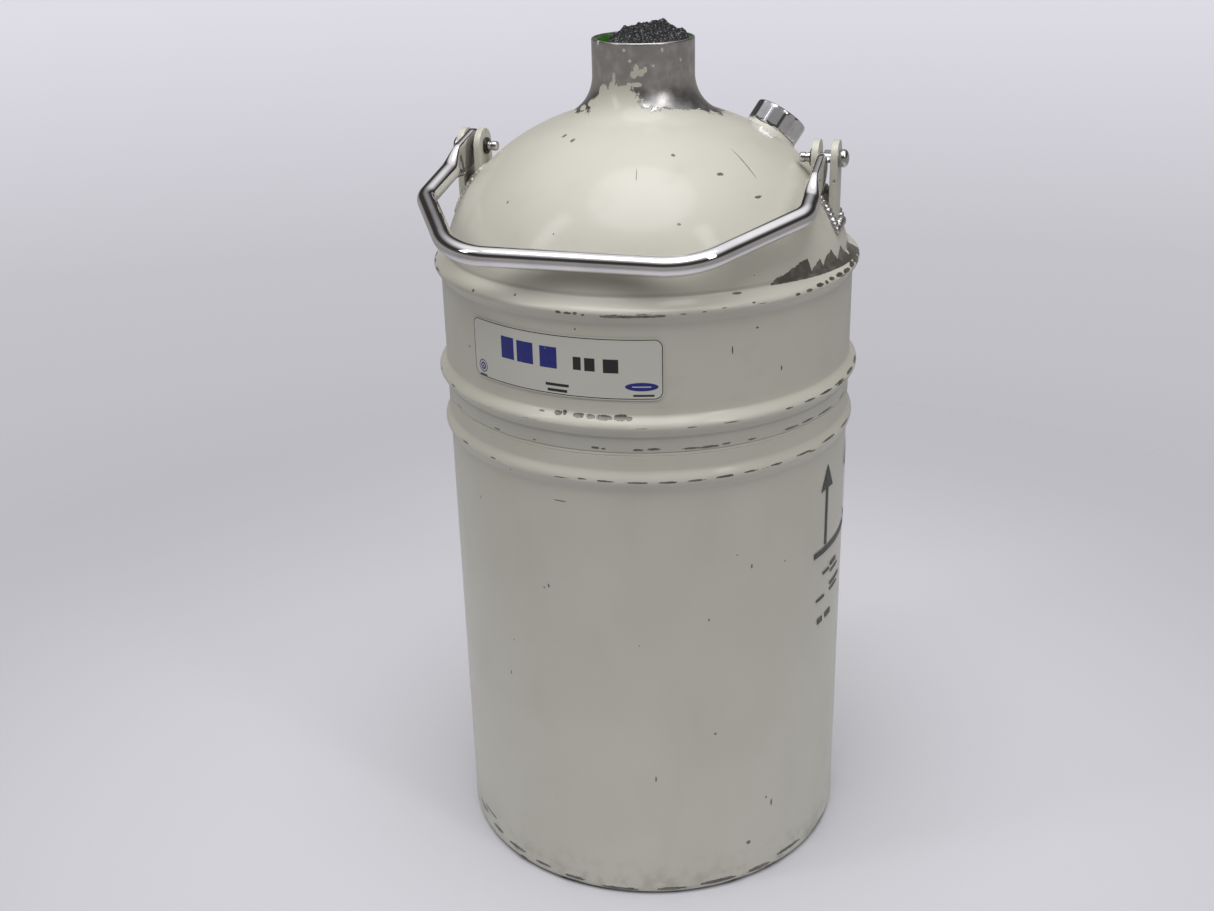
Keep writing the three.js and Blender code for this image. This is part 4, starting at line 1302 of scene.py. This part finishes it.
def spun_with_bore(outline):
    """Turns an outline that touches the axis part of the way along."""
    start = next(i for i, (r, z) in enumerate(outline) if r == 0) + 1
    return spun(outline[start:] + outline[:start], CAP_SIDES)


piece("port_collar_fillet", port_collar(), bracket_paint, "vessel", paint_slot, "port_weld_collar")
piece("port_boss_turned", port_boss(), machined, "vessel", metal_slot, "port_boss")
piece("relief_plug_turned", relief_plug(), machined, "relief_plug", metal_slot, "relief_plug")
piece("relief_plug_seal", o_ring(), rubber(), "relief_plug", "black_rubber", "relief_plug_o_ring")
piece("port_cap_turned", port_cap(), cap_metal, "port_cap", "polished_cap", "port_cap")

# ---------------------------------------------------------------- label and decal

SKIN_IN, SKIN_THICK = 130.35, 0.3


def wrapped(mesh, thick=SKIN_THICK):
    """A flat shape of (length round, height), given a thickness and laid round the body."""
    columns = [v.co.x for v in mesh.verts]
    low, high = min(columns), max(columns)
    cuts = max(int((high - low) / (2.5 * MM)), 1)
    for i in range(1, cuts):
        at = (low + (high - low) * i / cuts, 0, 0)
        everything = mesh.verts[:] + mesh.edges[:] + mesh.faces[:]
        bmesh.ops.bisect_plane(mesh, geom=everything, plane_co=at, plane_no=(1, 0, 0), dist=1e-6)
    made = bmesh.ops.extrude_face_region(mesh, geom=mesh.faces[:])["geom"]
    raised = [g for g in made if isinstance(g, bmesh.types.BMVert)]
    bmesh.ops.translate(mesh, vec=(0, 0, thick * MM), verts=raised)
    for v in mesh.verts:
        turn = v.co.x / (BODY_R * MM)
        r = SKIN_IN * MM + v.co.z
        v.co = (r * math.sin(turn), -r * math.cos(turn), v.co.y)
    bmesh.ops.recalc_face_normals(mesh, faces=mesh.faces)
    return mesh


def flat(outline):
    """A flat face from (bearing, height) corners."""
    mesh = bmesh.new()
    corners = [mesh.verts.new((math.radians(b) * BODY_R * MM, z * MM, 0)) for b, z in outline]
    mesh.faces.new(corners)
    return mesh


def label_plate():
    half = LABEL_SPAN / 2
    left, right = LABEL_MIDDLE - half, LABEL_MIDDLE + half
    mesh = flat([(left, LABEL_LOW), (right, LABEL_LOW), (right, LABEL_HIGH), (left, LABEL_HIGH)])
    form = {"affect": "VERTICES", "segments": 10, "profile": 0.5, "material": -1}
    bmesh.ops.bevel(mesh, geom=mesh.verts[:], offset=LABEL_CORNER * MM, offset_type="OFFSET", **form)
    return wrapped(mesh)


def arrow(bearing, low, high):
    """An upright arrow: a stem under a broad head."""
    stem, wide, neck = 0.62, 3.7, high - 16
    return [(bearing - stem, low), (bearing + stem, low), (bearing + stem, neck),
            (bearing + wide, neck - 0.5), (bearing, high), (bearing - wide, neck - 0.5),
            (bearing - stem, neck)]


DECAL_BARS = [
    (68, 104, 221, 225), (73.5, 78, 205, 207), (79, 84, 206, 209), (79, 86, 201.5, 203), (70, 75, 188, 190),
    (79, 88, 192, 194), (79, 86, 188, 189.6), (71, 74, 171, 175), (76, 80, 171, 175),
]


def decal_marks():
    """Two arrows over a bar, and a few plain bars under them."""
    shapes = [arrow(74.5, 226.5, 282), arrow(96, 226.5, 282)]
    shapes += [[(a, low), (b, low), (b, high), (a, high)] for a, b, low, high in DECAL_BARS]
    whole = bmesh.new()
    for shape in shapes:
        mark = wrapped(flat(shape), 0.12)
        data = bpy.data.meshes.new("mark")
        mark.to_mesh(data)
        mark.free()
        whole.from_mesh(data)
        bpy.data.meshes.remove(data)
    return whole


piece("front_label_film", label_plate(), label_film(), "vessel", "label_film", "front_label")
piece("side_arrow_decal", decal_marks(), decal_ink(), "vessel", "decal_ink", "side_decal")

# ---------------------------------------------------------------- floor, light and camera


FLOOR_R = 1.8
# Floor colours near and far: a painted falloff of light.
FLOOR_NEAR_PAINTED_LIGHT = (0.56, 0.557, 0.59, 1)
FLOOR_FAR_PAINTED_SHADE = (0.43, 0.427, 0.455, 1)


def floor():
    """A round of pale paper that fades into the room's pale backdrop, its colour painted lighter near the
    vessel and darker further out as a painted falloff of light.
    """
    finish = Finish("floor_paper", Roughness=0.8, Specular_IOR_Level=0.15)
    tone = finish.grain(400, 2)
    x, y, _ = finish.parts(finish.place)
    away = (x * x + y * y).maths("SQRT")
    # Painted light falloff: lighter near the vessel, darker away from it, with a faint paper tone.
    far = away.step(0.2, 0.8) * 0.95 + tone * 0.05
    finish.feed(
        Base_Color=finish.blend(far, FLOOR_NEAR_PAINTED_LIGHT, FLOOR_FAR_PAINTED_SHADE),
        Alpha=1 - away.step(0.4, 1.15),
    )
    mesh = bmesh.new()
    bmesh.ops.create_circle(mesh, cap_ends=True, segments=96, radius=FLOOR_R)
    data = bpy.data.meshes.new("floor")
    mesh.to_mesh(data)
    mesh.free()
    data.materials.append(finish.material)
    made = bpy.data.objects.new("floor", data)
    bpy.context.scene.collection.objects.link(made)


BACKDROP_STOPS = [(0.0, (0.5, 0.495, 0.53, 1)), (0.3, (0.51, 0.505, 0.54, 1)),
                  (0.37, (0.55, 0.543, 0.585, 1)), (0.45, (0.735, 0.725, 0.79, 1)),
                  (1.0, (0.8, 0.79, 0.85, 1))]
ROOM_STOPS = [(0.0, (0.3, 0.295, 0.29, 1)), (0.3, (0.3, 0.295, 0.29, 1)), (0.5, (0.34, 0.33, 0.325, 1)),
              (0.56, (0.22, 0.21, 0.205, 1)), (0.61, (0.045, 0.04, 0.04, 1)), (0.78, (0.05, 0.046, 0.046, 1)),
              (0.85, (0.4, 0.4, 0.41, 1)), (0.92, (1.0, 1.0, 1.02, 1)), (1.0, (1.1, 1.1, 1.12, 1))]


def room():
    """A pale backdrop to look at, and a dim room with a bright ceiling to reflect and light by."""
    world = bpy.data.worlds.new("room")
    world.use_nodes = True
    bpy.context.scene.world = world
    shading = Shading(world.node_tree)
    direction = shading.node("ShaderNodeTexCoord", {}, {}, "Generated")
    height = shading.node("ShaderNodeSeparateXYZ", {}, {0: direction}, "Z")
    level = shading.node("ShaderNodeMapRange", {}, {"Value": height, "From Min": -1})
    reflected, seen = (
        shading.node("ShaderNodeValToRGB", {"stops": stops}, {0: level})
        for stops in (ROOM_STOPS, BACKDROP_STOPS)
    )
    by_camera = shading.node("ShaderNodeLightPath", {}, {}, "Is Camera Ray")
    colour = shading.blend(by_camera, reflected, seen)
    shading.tree.links.new(colour.socket, shading.tree.nodes["Background"].inputs["Color"])


def lamp(name, kind, energy, place, target, colour=(1, 1, 1), **settings):
    data = bpy.data.lights.new(name, kind)
    data.energy = energy
    data.color = colour
    for setting, value in settings.items():
        setattr(data, setting, value)
    made = bpy.data.objects.new(name, data)
    bpy.context.scene.collection.objects.link(made)
    made.location = place
    made.rotation_mode = "QUATERNION"
    made.rotation_quaternion = (Vector(target) - Vector(place)).to_track_quat("-Z", "Y")


CAMERA_PLACE = (0.2403, -0.8843, 0.6537)
CAMERA_LENS = 43.885
CAMERA_HEADING, CAMERA_PITCH, CAMERA_ROLL = 16.96, 66.84, -1.48  # degrees


def camera():
    data = bpy.data.cameras.new("camera")
    data.lens = CAMERA_LENS
    data.sensor_width = 36
    data.sensor_fit = "HORIZONTAL"
    made = bpy.data.objects.new("camera", data)
    bpy.context.scene.collection.objects.link(made)
    heading, pitch, roll = (math.radians(a) for a in (CAMERA_HEADING, CAMERA_PITCH, CAMERA_ROLL))
    turn = Matrix.Rotation(heading, 4, "Z") @ Matrix.Rotation(pitch, 4, "X") @ Matrix.Rotation(roll, 4, "Z")
    made.matrix_world = Matrix.Translation(CAMERA_PLACE) @ turn
    bpy.context.scene.camera = made


floor()
room()
middle = (0, 0, 0.35)
lamp("overhead", "SUN", 1.7, (0.05, -0.4, 2), (0, 0, 0), angle=math.radians(46))
lamp("left_softbox", "AREA", 4, (-1.2, -0.9, 1.6), middle, shape="RECTANGLE", size=0.28, size_y=0.9)
lamp("right_softbox", "AREA", 5, (1.3, -0.8, 1.6), middle, shape="RECTANGLE", size=0.28, size_y=0.9)
camera()
bpy.context.scene.view_settings.view_transform = "Standard"
